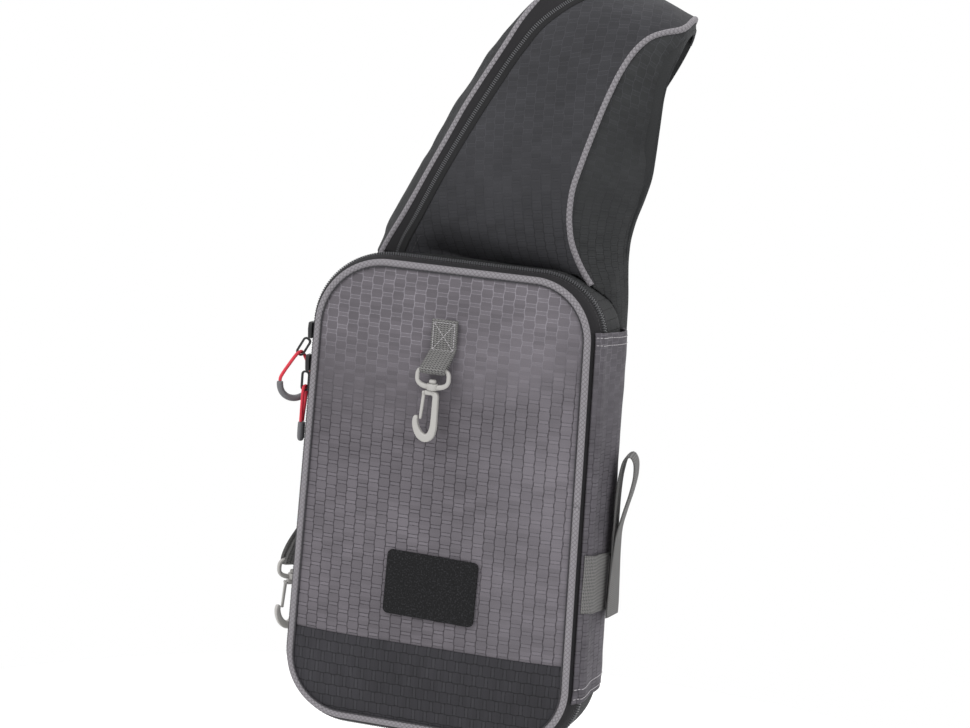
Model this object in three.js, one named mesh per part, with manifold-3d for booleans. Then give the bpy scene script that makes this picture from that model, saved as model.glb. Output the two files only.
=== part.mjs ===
// A fishing tackle sling bag: a flat two-panel case with a zip round its edge, two swivel hooks,
// and one wide padded shoulder strap that goes over the shoulder and down to the lower corner.
// Lengths are millimetres. The front faces -Y, +X is to the right seen from the front, +Z is up.
// The bag is drawn about its own foot, then the whole is moved so that the origin lies on the
// underside of the strap's highest point, where a shoulder carries it.

import * as THREE from 'three';
import Module from 'manifold-3d';
import { mergeVertices } from 'three/addons/utils/BufferGeometryUtils.js';

const wasm = await Module();
wasm.setup();

// Case
const CASE_TOP_WIDTH = 199.8;
const CASE_FOOT_WIDTH = 211.8;
const CASE_HEIGHT = 334;
const CASE_DEPTH = 80;
const TOP_LEFT_RADIUS = 50;
const TOP_RIGHT_RADIUS = 41;
const FOOT_LEFT_RADIUS = 42;
const FOOT_RIGHT_RADIUS = 43;
const PANEL_CROWN = 5;
const SEAM_HEIGHT = 61;
const CLOTH = 1.8;
const BACK_PAD = 4;
const PIPING_RADIUS = 2.6;
const SIDE_SWELL = 8;
const TOP_SWELL = 4.6;
const BACK_TUCK = 9;
const ZIP_TAPE_WIDTH = 8;
const ZIP_SETBACK = 12.3;
const ZIP_RIDGE = 1.1;
const GAP = 0.35;
const SHORTEST_EDGE = 0.02;
const CORNER_STEPS = 6;
const SIDE_STEPS = 5;
const END_STEPS = 4;

// Badge patch, bare
const PATCH_WIDTH = 69;
const PATCH_HEIGHT = 47;
const PATCH_RADIUS = 4;
const PATCH_THICKNESS = 1.6;
const PATCH_CENTRE_X = 1;
const PATCH_CENTRE_Z = 105.5;
const PATCH_TURN = 0.02;

// Rod sleeve, its webbing band and the rod strap on the right side
const SLEEVE_FOOT = 34;
const SLEEVE_TOP = 302;
const SLEEVE_TOP_SWELL = 15.9;
const SLEEVE_FOOT_SWELL = 11.5;
const BAND_WIDTH = 42;
const BAND_HEIGHT = 122;
const BAND_SLOPE = 6.5;
const BAND_THICKNESS = 1.5;
const ROD_STRAP_WIDTH = 25;
const ROD_STRAP_THICKNESS = 1.8;
const ROD_STRAP_HEIGHT = 122;
const ROD_STRAP_TURN = THREE.MathUtils.degToRad(8);

// Swivel hooks and the webbing that holds them
const WEBBING_WIDTH = 19;
const WEBBING_THICKNESS = 1.5;
const EYE_WIDTH = 26.4;
const EYE_HEIGHT = 17;
const EYE_BAR = 3.3;
const EYE_SIDE = 2.6;
const EYE_THICKNESS = 3.4;
const HOOK_LENGTH = 35.6;
const HOOK_THICKNESS = 4.4;
const PIN_RADIUS = 1.5;
const PIN_CLEARANCE = 0.3;
const GATE_STROKE = 2.4;
const GATE_THICKNESS = 2;
const FRONT_STANDOFF = 9.2;
const SIDE_STANDOFF = 15;
const SIDE_TURN = THREE.MathUtils.degToRad(-45);

// Zip pulls
const SLIDER_LENGTH = 12;
const SLIDER_WIDTH = 8;
const SLIDER_THICKNESS = 3.6;
const PULL_LENGTH = 15;
const PULL_WIDTH = 6.6;
const PULL_RIM = 1.4;
const PULL_THICKNESS = 1.5;
const CORD_DIAMETER = 2.5;
const GRIP_DIAMETER = 5.2;

// Shoulder strap
const STRAP_LEAN = THREE.MathUtils.degToRad(20.5);
const STRAP_ROOT_X = 11;
const STRAP_WIDTH = 190;
const STRAP_DEPTH = 50;
const STRAP_PAD = 8;
const STRAP_RISE = 174;
const STRAP_BURY = 24;
const SHOULDER_RADIUS = 48;
const STRAP_PIPING_RADIUS = 2.3;
const STRAP_ZIP_WIDTH = 7.2;
const STRAP_ZIP_THICKNESS = 2.2;
const TAIL_WEBBING_WIDTH = 38;
const TAIL_DROP = 285;
const BUCKLE_LENGTH = 58;
const BUCKLE_WIDTH = 47;
const BUCKLE_THICKNESS = 10;
const RING_LENGTH = 30;
const RING_THICKNESS = 4;
const TAB_THICKNESS = 2;

const root = new THREE.Group();
root.name = 'sling_bag';
const bag = new THREE.Group();
root.add(bag);

const finish = (color, roughness, metalness = 0) =>
  new THREE.MeshStandardMaterial({ color, roughness, metalness });
const greyCloth = finish(0x6f6b6e, 0.85);
const blackCloth = finish(0x35353a, 0.85);
const plainBlack = finish(0x2a292b, 0.9);
const pipingCloth = finish(0x928d91, 0.8);
const greyWebbing = finish(0x7a7a77, 0.9);
const blackWebbing = finish(0x232325, 0.9);
const zipNylon = finish(0x1c1c1d, 0.5);
const blackPlastic = finish(0x202022, 0.45);
const greyPlastic = finish(0xb6b4b0, 0.45);
const gripRubber = finish(0x6e6e6c, 0.6);
const redCord = finish(0xe64458, 0.7);
const badgeRubber = finish(0x222223, 0.95);

function addPart(name, geometry, material, parent = bag) {
  const mesh = new THREE.Mesh(geometry, material);
  mesh.name = name;
  parent.add(mesh);
  return mesh;
}

// Six times the signed volume: it tells which way the triangles face.
function signedVolume(positions, indices) {
  const a = new THREE.Vector3();
  const b = new THREE.Vector3();
  const c = new THREE.Vector3();
  let sum = 0;
  for (let i = 0; i < indices.length; i += 3) {
    a.fromArray(positions, 3 * indices[i]);
    b.fromArray(positions, 3 * indices[i + 1]);
    c.fromArray(positions, 3 * indices[i + 2]);
    sum += a.dot(b.cross(c));
  }
  return sum;
}

// A closed skin through rings of equal length. An open row of rings gets a cap at each end,
// which pairs each point with the one across the ring.
function loft(rings, isLoop = false) {
  const size = rings[0].length;
  const positions = rings.flat().flatMap((point) => [point.x, point.y, point.z]);
  const indices = [];
  const quad = (a, b, c, d) => indices.push(a, b, c, a, c, d);
  const spans = isLoop ? rings.length : rings.length - 1;
  for (let i = 0; i < spans; i += 1) {
    const here = i * size;
    const next = ((i + 1) % rings.length) * size;
    for (let j = 0; j < size; j += 1) {
      const k = (j + 1) % size;
      quad(here + j, here + k, next + k, next + j);
    }
  }
  if (!isLoop) {
    const last = (rings.length - 1) * size;
    for (let j = 0; j < size / 2 - 1; j += 1) {
      const across = size - 1 - j;
      quad(j, across, across - 1, j + 1);
      quad(last + j, last + j + 1, last + across - 1, last + across);
    }
  }
  if (signedVolume(positions, indices) < 0) indices.reverse();
  const geometry = new THREE.BufferGeometry();
  geometry.setAttribute('position', new THREE.Float32BufferAttribute(positions, 3));
  geometry.setIndex(indices);
  return geometry;
}

// A wall of even thickness behind a grid of outer points. The wall grows to the side that
// `inward` names: 1 or -1 times the cross product of the grid's two directions.
function wall(grid, thickness, inward) {
  const rows = grid.length;
  const columns = grid[0].length;
  const at = (i, j) => grid[Math.min(Math.max(i, 0), rows - 1)][Math.min(Math.max(j, 0), columns - 1)];
  const rings = grid.map((row, i) => {
    const inner = row.map((point, j) => {
      const along = at(i + 1, j).clone().sub(at(i - 1, j));
      const across = at(i, j + 1).clone().sub(at(i, j - 1));
      const normal = along.cross(across).normalize();
      return point.clone().addScaledVector(normal, inward * thickness);
    });
    return [...row, ...inner.reverse()];
  });
  return loft(rings);
}

function toSolid(geometry) {
  const bare = geometry.clone();
  bare.deleteAttribute('normal');
  bare.deleteAttribute('uv');
  const merged = mergeVertices(bare, 1e-4);
  return new wasm.Manifold(new wasm.Mesh({
    numProp: 3,
    vertProperties: new Float32Array(merged.attributes.position.array),
    triVerts: new Uint32Array(merged.index.array),
  }));
}

// Edges too short to keep are merged, because stored meshes hold 32-bit numbers.
function fromSolid(solid) {
  const mesh = solid.simplify(SHORTEST_EDGE).getMesh();
  const geometry = new THREE.BufferGeometry();
  geometry.setAttribute('position', new THREE.Float32BufferAttribute(mesh.vertProperties, 3));
  geometry.setIndex([...mesh.triVerts]);
  return geometry;
}

// What is left outside the cutter; of several pieces the largest stays.
function carve(geometry, cutter) {
  const pieces = toSolid(geometry).subtract(toSolid(cutter)).decompose();
  return fromSolid(pieces.reduce((best, piece) => (piece.volume() > best.volume() ? piece : best)));
}

function tube(points, radius, sides, steps) {
  const path = new THREE.CatmullRomCurve3(points, false, 'centripetal');
  const section = new THREE.Shape();
  section.absarc(0, 0, radius, 0, 2 * Math.PI, false);
  return new THREE.ExtrudeGeometry(section, { steps, curveSegments: sides / 2, extrudePath: path });
}

const range = (count) => Array.from({ length: count + 1 }, (_, i) => i / count);
const lerp = THREE.MathUtils.lerp;

// The case's outline

const footHalf = CASE_FOOT_WIDTH / 2;
const topHalf = CASE_TOP_WIDTH / 2;
const sideTaper = Math.atan((footHalf - topHalf) / CASE_HEIGHT);
const sideLine = (z) => lerp(footHalf, topHalf, z / CASE_HEIGHT);

function corner(radius, z, side) {
  return { radius, z, x: side * (sideLine(z) - radius / Math.cos(sideTaper)) };
}
const corners = {
  footRight: corner(FOOT_RIGHT_RADIUS, FOOT_RIGHT_RADIUS, 1),
  topRight: corner(TOP_RIGHT_RADIUS, CASE_HEIGHT - TOP_RIGHT_RADIUS, 1),
  topLeft: corner(TOP_LEFT_RADIUS, CASE_HEIGHT - TOP_LEFT_RADIUS, -1),
  footLeft: corner(FOOT_LEFT_RADIUS, FOOT_LEFT_RADIUS, -1),
};

// Points round the outline with their outward directions, counterclockwise seen from the front.
function outlineFrames() {
  const quarter = Math.PI / 2;
  const turns = [
    { at: corners.footRight, from: -quarter, to: sideTaper, steps: SIDE_STEPS },
    { at: corners.topRight, from: sideTaper, to: quarter, steps: END_STEPS },
    { at: corners.topLeft, from: quarter, to: 2 * quarter - sideTaper, steps: SIDE_STEPS },
    { at: corners.footLeft, from: 2 * quarter - sideTaper, to: 3 * quarter, steps: END_STEPS },
  ];
  const arcs = turns.map(({ at, from, to }) => range(CORNER_STEPS).map((share) => {
    const angle = lerp(from, to, share);
    const out = new THREE.Vector3(Math.cos(angle), 0, Math.sin(angle));
    const point = new THREE.Vector3(at.x, 0, at.z).addScaledVector(out, at.radius);
    return { point, out };
  }));
  return arcs.flatMap((arc, i) => {
    const start = arc.at(-1);
    const end = arcs[(i + 1) % arcs.length][0];
    const straight = range(turns[i].steps).slice(1, -1).map((share) => ({
      point: start.point.clone().lerp(end.point, share),
      out: start.out,
    }));
    return [...arc, ...straight];
  });
}
const outline = outlineFrames();

// A point off the outline. What swells out does so less at the top than at the sides.
function outlinePoint({ point, out }, grow, y, clearance = 0) {
  const calm = grow > 0 ? lerp(1, TOP_SWELL / SIDE_SWELL, Math.max(out.z, 0) ** 2) : 1;
  return point.clone().addScaledVector(out, grow * calm + clearance).setY(y);
}

// Width of the grown outline on one side at height z.
function sideReach(z, side, grow) {
  const top = side > 0 ? corners.topRight : corners.topLeft;
  const foot = side > 0 ? corners.footRight : corners.footLeft;
  const arc = (turn) => {
    const radius = turn.radius + grow;
    const rise = Math.min(Math.abs(z - turn.z), radius);
    return turn.x + side * Math.sqrt(radius * radius - rise * rise);
  };
  if (z > top.z + (top.radius + grow) * Math.sin(sideTaper)) return arc(top);
  if (z < foot.z + (foot.radius + grow) * Math.sin(sideTaper)) return arc(foot);
  return side * (sideLine(z) + grow / Math.cos(sideTaper));
}

// The edge wall's profile from the front piping to the back seam.
const frontY = -CASE_DEPTH / 2;
const backY = CASE_DEPTH / 2;
const zipY = frontY + ZIP_SETBACK + ZIP_TAPE_WIDTH / 2;
const tapeGrow = 0.97 * SIDE_SWELL;
const edgeProfile = [
  { y: frontY + PIPING_RADIUS + GAP, grow: 0.2 * SIDE_SWELL },
  { y: frontY + 6.5, grow: 0.66 * SIDE_SWELL },
  { y: frontY + ZIP_SETBACK - GAP, grow: 0.95 * SIDE_SWELL },
  { y: frontY + ZIP_SETBACK + ZIP_TAPE_WIDTH + GAP, grow: SIDE_SWELL },
  { y: 12, grow: SIDE_SWELL },
  { y: backY - 16, grow: 0.55 * SIDE_SWELL },
  { y: backY - 7, grow: -0.16 * SIDE_SWELL },
  { y: backY - 2, grow: -0.5 * BACK_TUCK },
  { y: backY, grow: -BACK_TUCK },
];

function edgeGrow(y) {
  const next = edgeProfile.findIndex((row) => row.y >= y);
  if (next < 0) return edgeProfile.at(-1).grow;
  if (next === 0) return edgeProfile[0].grow;
  const [low, high] = [edgeProfile[next - 1], edgeProfile[next]];
  return lerp(low.grow, high.grow, (y - low.y) / (high.y - low.y));
}

// A band round the whole case, from its outer profile; its two ends are cut square.
function caseBand(outer, thickness) {
  const last = outer.length - 1;
  const inner = outer.map(({ y, grow }, i) => {
    const rise = outer[Math.min(i + 1, last)].grow - outer[Math.max(i - 1, 0)].grow;
    const run = outer[Math.min(i + 1, last)].y - outer[Math.max(i - 1, 0)].y;
    const isEnd = i === 0 || i === last;
    const isSteep = Math.abs(rise) > Math.abs(run);
    if (isEnd && isSteep) return { y: y + thickness * Math.sign(rise), grow };
    if (isEnd) return { y, grow: grow - thickness };
    const slope = Math.hypot(rise, run);
    return { y: y + thickness * rise / slope, grow: grow - thickness * run / slope };
  });
  const profile = [...outer, ...inner.reverse()];
  return loft(outline.map((frame) => profile.map(({ y, grow }) => outlinePoint(frame, grow, y))), true);
}

// The case's whole outer form with the zip on it, grown by one gap: it trims what is sewn on.
function caseCutter() {
  const half = ZIP_TAPE_WIDTH / 2 + GAP;
  const zipRows = [zipY - half, zipY + half].map((y) => ({ y, grow: tapeGrow + ZIP_RIDGE }));
  const before = edgeProfile.filter((row) => row.y < zipY - half);
  const after = edgeProfile.filter((row) => row.y > zipY + half);
  const atZip = (y) => ({ y, grow: edgeGrow(y) });
  const rows = [...before, atZip(zipY - half - 0.1), ...zipRows, atZip(zipY + half + 0.1), ...after];
  return loft(rows.map(({ y, grow }) => outline.map((frame) => outlinePoint(frame, grow, y, GAP))));
}

addPart('gusset_front', caseBand(edgeProfile.slice(0, 3), CLOTH), plainBlack);
addPart('gusset_rear', caseBand(edgeProfile.slice(3), CLOTH), blackCloth);

function mainZip() {
  const start = zipY - ZIP_TAPE_WIDTH / 2;
  const end = zipY + ZIP_TAPE_WIDTH / 2;
  const tape = tapeGrow;
  const outer = [
    { y: start, grow: tape },
    { y: lerp(start, end, 0.2), grow: tape + ZIP_RIDGE },
    { y: lerp(start, end, 0.8), grow: tape + ZIP_RIDGE },
    { y: end, grow: tape },
  ];
  const inner = [
    { y: end, grow: tape - CLOTH },
    { y: start, grow: tape - CLOTH },
  ];
  const profile = [...outer, ...inner];
  return loft(outline.map((frame) => profile.map(({ y, grow }) => outlinePoint(frame, grow, y))), true);
}
addPart('main_zip', mainZip(), zipNylon);

// The piping is one cord of bias tape whose ends meet on the right side.
function frontPiping() {
  const joint = Math.round(CORNER_STEPS + SIDE_STEPS / 2);
  const order = [...outline.slice(joint), ...outline.slice(0, joint)];
  const ring = order.map((frame) => outlinePoint(frame, 0, frontY));
  const sides = 8;
  const section = range(sides).slice(0, -1).map((share) => 2 * Math.PI * share);
  const rings = order.map((frame, i) => section.map((angle) => ring[i].clone()
    .addScaledVector(frame.out, PIPING_RADIUS * Math.cos(angle))
    .add(new THREE.Vector3(0, PIPING_RADIUS * Math.sin(angle), 0))));
  const first = rings[0];
  const last = rings.at(-1);
  const span = ring[0].distanceTo(ring.at(-1));
  const stop = first.map((point, j) => last[j].clone().lerp(point, 1 - GAP / span));
  return loft([...rings, stop]);
}
addPart('front_piping', frontPiping(), pipingCloth);

// Front panel: a shallow pillow inside the piping, in two cloths.
const panelInset = PIPING_RADIUS + GAP + 0.1;
const panelFoot = panelInset;
const panelTop = CASE_HEIGHT - panelInset;

function panelFace(share, z) {
  const height = (z - CASE_HEIGHT / 2) / (CASE_HEIGHT / 2);
  const lift = (1 - Math.abs(share) ** 4) * (1 - Math.abs(height) ** 6);
  return frontY - 0.6 - PANEL_CROWN * lift;
}

function panelRow(z, columns = 10) {
  const left = sideReach(z, -1, -panelInset);
  const right = sideReach(z, 1, -panelInset);
  return range(columns).map((share) =>
    new THREE.Vector3(lerp(left, right, share), panelFace(2 * share - 1, z), z));
}

function cornerHeights(centre, radius, up) {
  const angles = [0.06, 0.3, 0.52, 0.72, 0.88, 1];
  return angles.map((share) => centre + up * radius * Math.sin(share * Math.PI / 2));
}

function frontPanel(heights) {
  const rings = heights.map((z) => {
    const row = panelRow(z);
    const inner = row.map((point) => point.clone().add(new THREE.Vector3(0, CLOTH, 0)));
    return [...row, ...inner.reverse()];
  });
  return loft(rings);
}

const lowHeights = cornerHeights(FOOT_RIGHT_RADIUS, FOOT_RIGHT_RADIUS - panelInset, -1).reverse();
const highRadius = TOP_LEFT_RADIUS - panelInset;
const highHeights = cornerHeights(CASE_HEIGHT - TOP_LEFT_RADIUS, highRadius, 1);
lowHeights[0] = panelFoot;
highHeights[highHeights.length - 1] = panelTop;
const middle = range(6).map((share) => lerp(SEAM_HEIGHT + GAP, highHeights[0] - 12, share));
addPart('front_panel_lower', frontPanel([...lowHeights, SEAM_HEIGHT]), blackCloth);
addPart('front_panel_upper', frontPanel([...middle, ...highHeights]), greyCloth);

// Back panel: a thin foam pad, flat where it lies on the back.
function backPanel() {
  const grow = -BACK_TUCK - GAP;
  const foot = -grow;
  const top = CASE_HEIGHT + grow;
  const heights = [
    ...cornerHeights(FOOT_RIGHT_RADIUS, FOOT_RIGHT_RADIUS + grow, -1).reverse(),
    ...range(3).map((share) => lerp(2 * FOOT_RIGHT_RADIUS, CASE_HEIGHT - 2 * TOP_LEFT_RADIUS, share)),
    ...cornerHeights(CASE_HEIGHT - TOP_LEFT_RADIUS, TOP_LEFT_RADIUS + grow, 1),
  ];
  heights[0] = foot;
  heights[heights.length - 1] = top;
  const rings = heights.map((z) => {
    const left = sideReach(z, -1, grow);
    const right = sideReach(z, 1, grow);
    const row = range(2).map((share) => new THREE.Vector3(lerp(left, right, share), backY, z));
    const inner = row.map((point) => point.clone().setY(backY - BACK_PAD));
    return [...row, ...inner.reverse()];
  });
  return loft(rings);
}
addPart('back_panel', backPanel(), plainBlack);

function roundedRectangle(width, height, radius) {
  const shape = new THREE.Shape();
  const x = width / 2 - radius;
  const z = height / 2 - radius;
  shape.absarc(x, -z, radius, -Math.PI / 2, 0, false);
  shape.absarc(x, z, radius, 0, Math.PI / 2, false);
  shape.absarc(-x, z, radius, Math.PI / 2, Math.PI, false);
  shape.absarc(-x, -z, radius, Math.PI, 1.5 * Math.PI, false);
  shape.closePath();
  return shape;
}

// A flat plate drawn in x and z, with its outer face at -thickness on Y.
function plate(shape, thickness, curveSegments = 4, bevel = 0) {
  const geometry = new THREE.ExtrudeGeometry(shape, {
    depth: thickness - 2 * bevel,
    curveSegments,
    bevelEnabled: bevel > 0,
    bevelThickness: bevel,
    bevelSize: bevel,
    bevelOffset: -bevel,
    bevelSegments: 1,
  });
  geometry.translate(0, 0, bevel);
  geometry.rotateX(Math.PI / 2);
  return geometry;
}

const panelCentreY = frontY - 0.6 - PANEL_CROWN;
const badge = addPart(
  'badge_patch',
  plate(roundedRectangle(PATCH_WIDTH, PATCH_HEIGHT, PATCH_RADIUS), PATCH_THICKNESS),
  badgeRubber,
);
badge.position.set(PATCH_CENTRE_X, panelCentreY - GAP, PATCH_CENTRE_Z);
badge.rotation.y = PATCH_TURN;

// Rod sleeve: cloth over the right side, closed along both edges, open at its upper hem.
// across runs from the piping (0) to the back (1); swell is a share of the sleeve's swell there.
const sleeveSections = [
  { across: 0, swell: 0.16 },
  { across: 0.15, swell: 0.62 },
  { across: 0.34, swell: 0.9 },
  { across: 0.54, swell: 1 },
  { across: 0.7, swell: 0.9 },
  { across: 0.84, swell: 0.66 },
  { across: 0.94, swell: 0.3 },
  { across: 1, swell: -0.06 },
];
const sleeveFront = frontY + PIPING_RADIUS + 1;
const sleeveBack = backY - 5;

function sleeveGrow(across, z) {
  const last = sleeveSections.length - 1;
  const next = Math.min(Math.max(sleeveSections.findIndex((row) => row.across >= across), 1), last);
  const [low, high] = [sleeveSections[next - 1], sleeveSections[next]];
  const swell = lerp(low.swell, high.swell, (across - low.across) / (high.across - low.across));
  const full = lerp(SLEEVE_FOOT_SWELL, SLEEVE_TOP_SWELL, z / SLEEVE_TOP);
  const y = lerp(sleeveFront, sleeveBack, across);
  const isOnZip = Math.abs(y - zipY) < ZIP_TAPE_WIDTH;
  const underneath = isOnZip ? tapeGrow + ZIP_RIDGE : edgeGrow(y);
  return Math.max(swell * full, underneath + GAP + CLOTH + 0.1);
}

function sleevePoint(across, z, lift = 0) {
  const y = lerp(sleeveFront, sleeveBack, across);
  return new THREE.Vector3(sideReach(z, 1, sleeveGrow(across, z) + lift), y, z);
}

const sleeveColumns = range(10);

function sideSleeve() {
  const rises = [0, 0.025, 0.06, 0.11, 0.25, 0.4, 0.55, 0.7, 0.85, 1];
  const grid = rises.map((rise) => sleeveColumns.map((across) => {
    const foot = SLEEVE_FOOT + 3 * Math.sin(Math.PI * across);
    const top = SLEEVE_TOP - 4.5 * across;
    return sleevePoint(across, lerp(foot, top, rise));
  }));
  return carve(wall(grid, CLOTH, 1), caseCutter());
}
addPart('side_sleeve', sideSleeve(), greyCloth);

// How far the band's face stands off the sleeve's: more where the sleeve slopes.
function bandLift(across, z) {
  const step = sleeveColumns[1];
  const here = sleeveGrow(across, z);
  const rises = [across - step, across + step].map((next) =>
    Math.abs(sleeveGrow(THREE.MathUtils.clamp(next, 0, 1), z) - here));
  const slope = Math.max(...rises) / (step * (sleeveBack - sleeveFront));
  return (BAND_THICKNESS + GAP) * Math.hypot(1, slope);
}

function sideBand() {
  const columns = sleeveColumns.slice(0, -1);
  const grid = range(2).map((rise) => columns.map((across) => {
    const z = BAND_HEIGHT + (rise - 0.5) * BAND_WIDTH - BAND_SLOPE * across;
    return sleevePoint(across, z, bandLift(across, z));
  }));
  return wall(grid, BAND_THICKNESS, 1);
}
addPart('side_band', sideBand(), greyWebbing);

// Rod strap: webbing sewn to the band, folded over at the top and standing off the side.
// out is the distance from the band's face, rise the height above the strap's foot.
const rodStrapPath = [
  { out: 0, rise: 0.03 },
  { out: 0, rise: 0.3 },
  { out: 0, rise: 0.46 },
  { out: -0.002, rise: 0.6 },
  { out: -0.002, rise: 0.76 },
  { out: 0.006, rise: 0.88 },
  { out: 0.03, rise: 0.97 },
  { out: 0.064, rise: 1 },
  { out: 0.094, rise: 0.97 },
  { out: 0.103, rise: 0.89 },
  { out: 0.088, rise: 0.79 },
  { out: 0.046, rise: 0.645 },
  { out: 0.027, rise: 0.53 },
  { out: 0.021, rise: 0.42 },
  { out: 0.024, rise: 0.27 },
  { out: 0.043, rise: 0.02 },
];

function rodStrap() {
  const seatAcross = 0.62;
  const foot = BAND_HEIGHT - BAND_WIDTH / 2 - BAND_SLOPE * seatAcross - 6;
  const seat = sleevePoint(seatAcross, BAND_HEIGHT, BAND_THICKNESS + GAP + 1.15 * ROD_STRAP_THICKNESS);
  const out = new THREE.Vector3(Math.cos(ROD_STRAP_TURN), Math.sin(ROD_STRAP_TURN), 0);
  const across = new THREE.Vector3(-out.y, out.x, 0);
  const points = rodStrapPath.map((row) => seat.clone().setZ(foot + row.rise * ROD_STRAP_HEIGHT)
    .addScaledVector(out, row.out * ROD_STRAP_HEIGHT));
  return strip(points, across, ROD_STRAP_WIDTH, ROD_STRAP_THICKNESS, 26);
}

// A flat strap along a path, with its width held along one direction.
function strip(points, across, width, thickness, steps) {
  const path = new THREE.CatmullRomCurve3(points, false, 'centripetal');
  const side = across.clone().normalize();
  const rings = range(steps).map((share) => {
    const centre = path.getPointAt(share);
    const face = path.getTangentAt(share).cross(side).normalize();
    const place = (w, t) => centre.clone().addScaledVector(side, w).addScaledVector(face, t);
    const [w, t] = [width / 2, thickness / 2];
    return [place(-w, -t), place(w, -t), place(w, t), place(-w, t)];
  });
  return loft(rings);
}
addPart('rod_strap', rodStrap(), greyWebbing);

// Swivel hooks. Local frame: the pin's axis is Z, the eye stands above z = 0, the hook hangs
// below it in the XZ plane with its open side to -X.

function strokeShape(rows, steps) {
  const line = new THREE.SplineCurve(rows.map((row) => new THREE.Vector2(row.x, row.z)));
  const half = (share) => {
    const place = share * (rows.length - 1);
    const low = Math.min(Math.floor(place), rows.length - 2);
    return lerp(rows[low].half, rows[low + 1].half, place - low);
  };
  const edge = (share, side) => {
    const point = line.getPoint(share);
    const tangent = line.getTangent(share);
    const normal = new THREE.Vector2(-tangent.y, tangent.x);
    return point.clone().addScaledVector(normal, side * half(share));
  };
  const shares = range(steps);
  return new THREE.Shape([
    ...shares.map((share) => edge(share, 1)),
    ...shares.toReversed().map((share) => edge(share, -1)),
  ]);
}

const gatePivot = { x: -0.165 * HOOK_LENGTH, z: -0.06 * HOOK_LENGTH };
const pinHeadBase = EYE_BAR + 1.3 + PIN_CLEARANCE;

function swivelEye() {
  const shape = roundedRectangle(EYE_WIDTH, EYE_HEIGHT, 8);
  const opening = roundedRectangle(EYE_WIDTH - 2 * EYE_SIDE, EYE_HEIGHT - 2 * EYE_BAR, 1.6);
  shape.holes.push(new THREE.Path(opening.getPoints(2)));
  const ring = plate(shape, EYE_THICKNESS, 3, 0.5);
  ring.translate(0, EYE_THICKNESS / 2, EYE_HEIGHT / 2);
  const boss = new THREE.CylinderGeometry(3.5, 3.5, EYE_BAR + 1.3, 12);
  boss.rotateX(Math.PI / 2);
  boss.translate(0, 0, (EYE_BAR + 1.3) / 2);
  const bore = new THREE.CylinderGeometry(PIN_RADIUS + PIN_CLEARANCE, PIN_RADIUS + PIN_CLEARANCE, 30, 12);
  bore.rotateX(Math.PI / 2);
  const low = toSolid(bore).trimByPlane([0, 0, -1], -(pinHeadBase + 2));
  return fromSolid(toSolid(ring).add(toSolid(boss)).subtract(low));
}

// Columns: place on the hook's centre line and half width there, as shares of its length.
const hookLine = [
  { x: -0.165, z: -0.058, half: 0.045 },
  { x: -0.07, z: -0.058, half: 0.045 },
  { x: 0.028, z: -0.059, half: 0.048 },
  { x: 0.081, z: -0.101, half: 0.055 },
  { x: 0.088, z: -0.239, half: 0.058 },
  { x: 0.088, z: -0.421, half: 0.06 },
  { x: 0.087, z: -0.618, half: 0.063 },
  { x: 0.076, z: -0.787, half: 0.07 },
  { x: 0.022, z: -0.927, half: 0.079 },
  { x: -0.073, z: -0.978, half: 0.081 },
  { x: -0.185, z: -0.927, half: 0.076 },
  { x: -0.272, z: -0.798, half: 0.063 },
  { x: -0.306, z: -0.646, half: 0.051 },
  { x: -0.287, z: -0.534, half: 0.038 },
];

function swivelHook() {
  const scaled = hookLine.map((row) => ({
    x: row.x * HOOK_LENGTH,
    z: row.z * HOOK_LENGTH,
    half: row.half * HOOK_LENGTH,
  }));
  const body = plate(strokeShape(scaled, 24), HOOK_THICKNESS, 4, 0.7);
  body.translate(0, HOOK_THICKNESS / 2, 0);
  const headTop = pinHeadBase + 2.6;
  const profile = [
    [0, -2.5], [PIN_RADIUS, -2.5], [PIN_RADIUS, pinHeadBase], [2.7, pinHeadBase],
    [2.7, headTop - 1], [1.6, headTop], [0, headTop],
  ].map(([radius, height]) => new THREE.Vector2(radius, height));
  const pin = new THREE.LatheGeometry(profile, 12);
  pin.rotateX(Math.PI / 2);
  const slot = new THREE.BoxGeometry(6.4, GATE_THICKNESS + 2 * GAP, 9);
  slot.translate(gatePivot.x - 0.6, 0, gatePivot.z);
  const axle = new THREE.CylinderGeometry(0.7, 0.7, HOOK_THICKNESS - 1, 8);
  axle.translate(gatePivot.x, 0, gatePivot.z);
  const slotted = toSolid(body).add(toSolid(pin)).subtract(toSolid(slot));
  return fromSolid(slotted.add(toSolid(axle)));
}

function swivelGate() {
  const tip = -0.61 * HOOK_LENGTH;
  const arm = plate(strokeShape([
    { x: gatePivot.x, z: gatePivot.z, half: GATE_STROKE / 2 },
    { x: gatePivot.x - 0.022 * HOOK_LENGTH, z: lerp(gatePivot.z, tip, 0.5), half: GATE_STROKE / 2 },
    { x: gatePivot.x - 0.043 * HOOK_LENGTH, z: tip, half: 0.4 * GATE_STROKE },
  ], 4), GATE_THICKNESS, 4);
  arm.translate(0, GATE_THICKNESS / 2, 0);
  const knuckle = new THREE.CylinderGeometry(1.75, 1.75, GATE_THICKNESS, 12);
  knuckle.translate(gatePivot.x, 0, gatePivot.z);
  const hole = new THREE.CylinderGeometry(1, 1, 3 * GATE_THICKNESS, 8);
  hole.translate(gatePivot.x, 0, gatePivot.z);
  return fromSolid(toSolid(arm).add(toSolid(knuckle)).subtract(toSolid(hole)));
}

const up = new THREE.Vector3(0, 0, 1);

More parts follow.
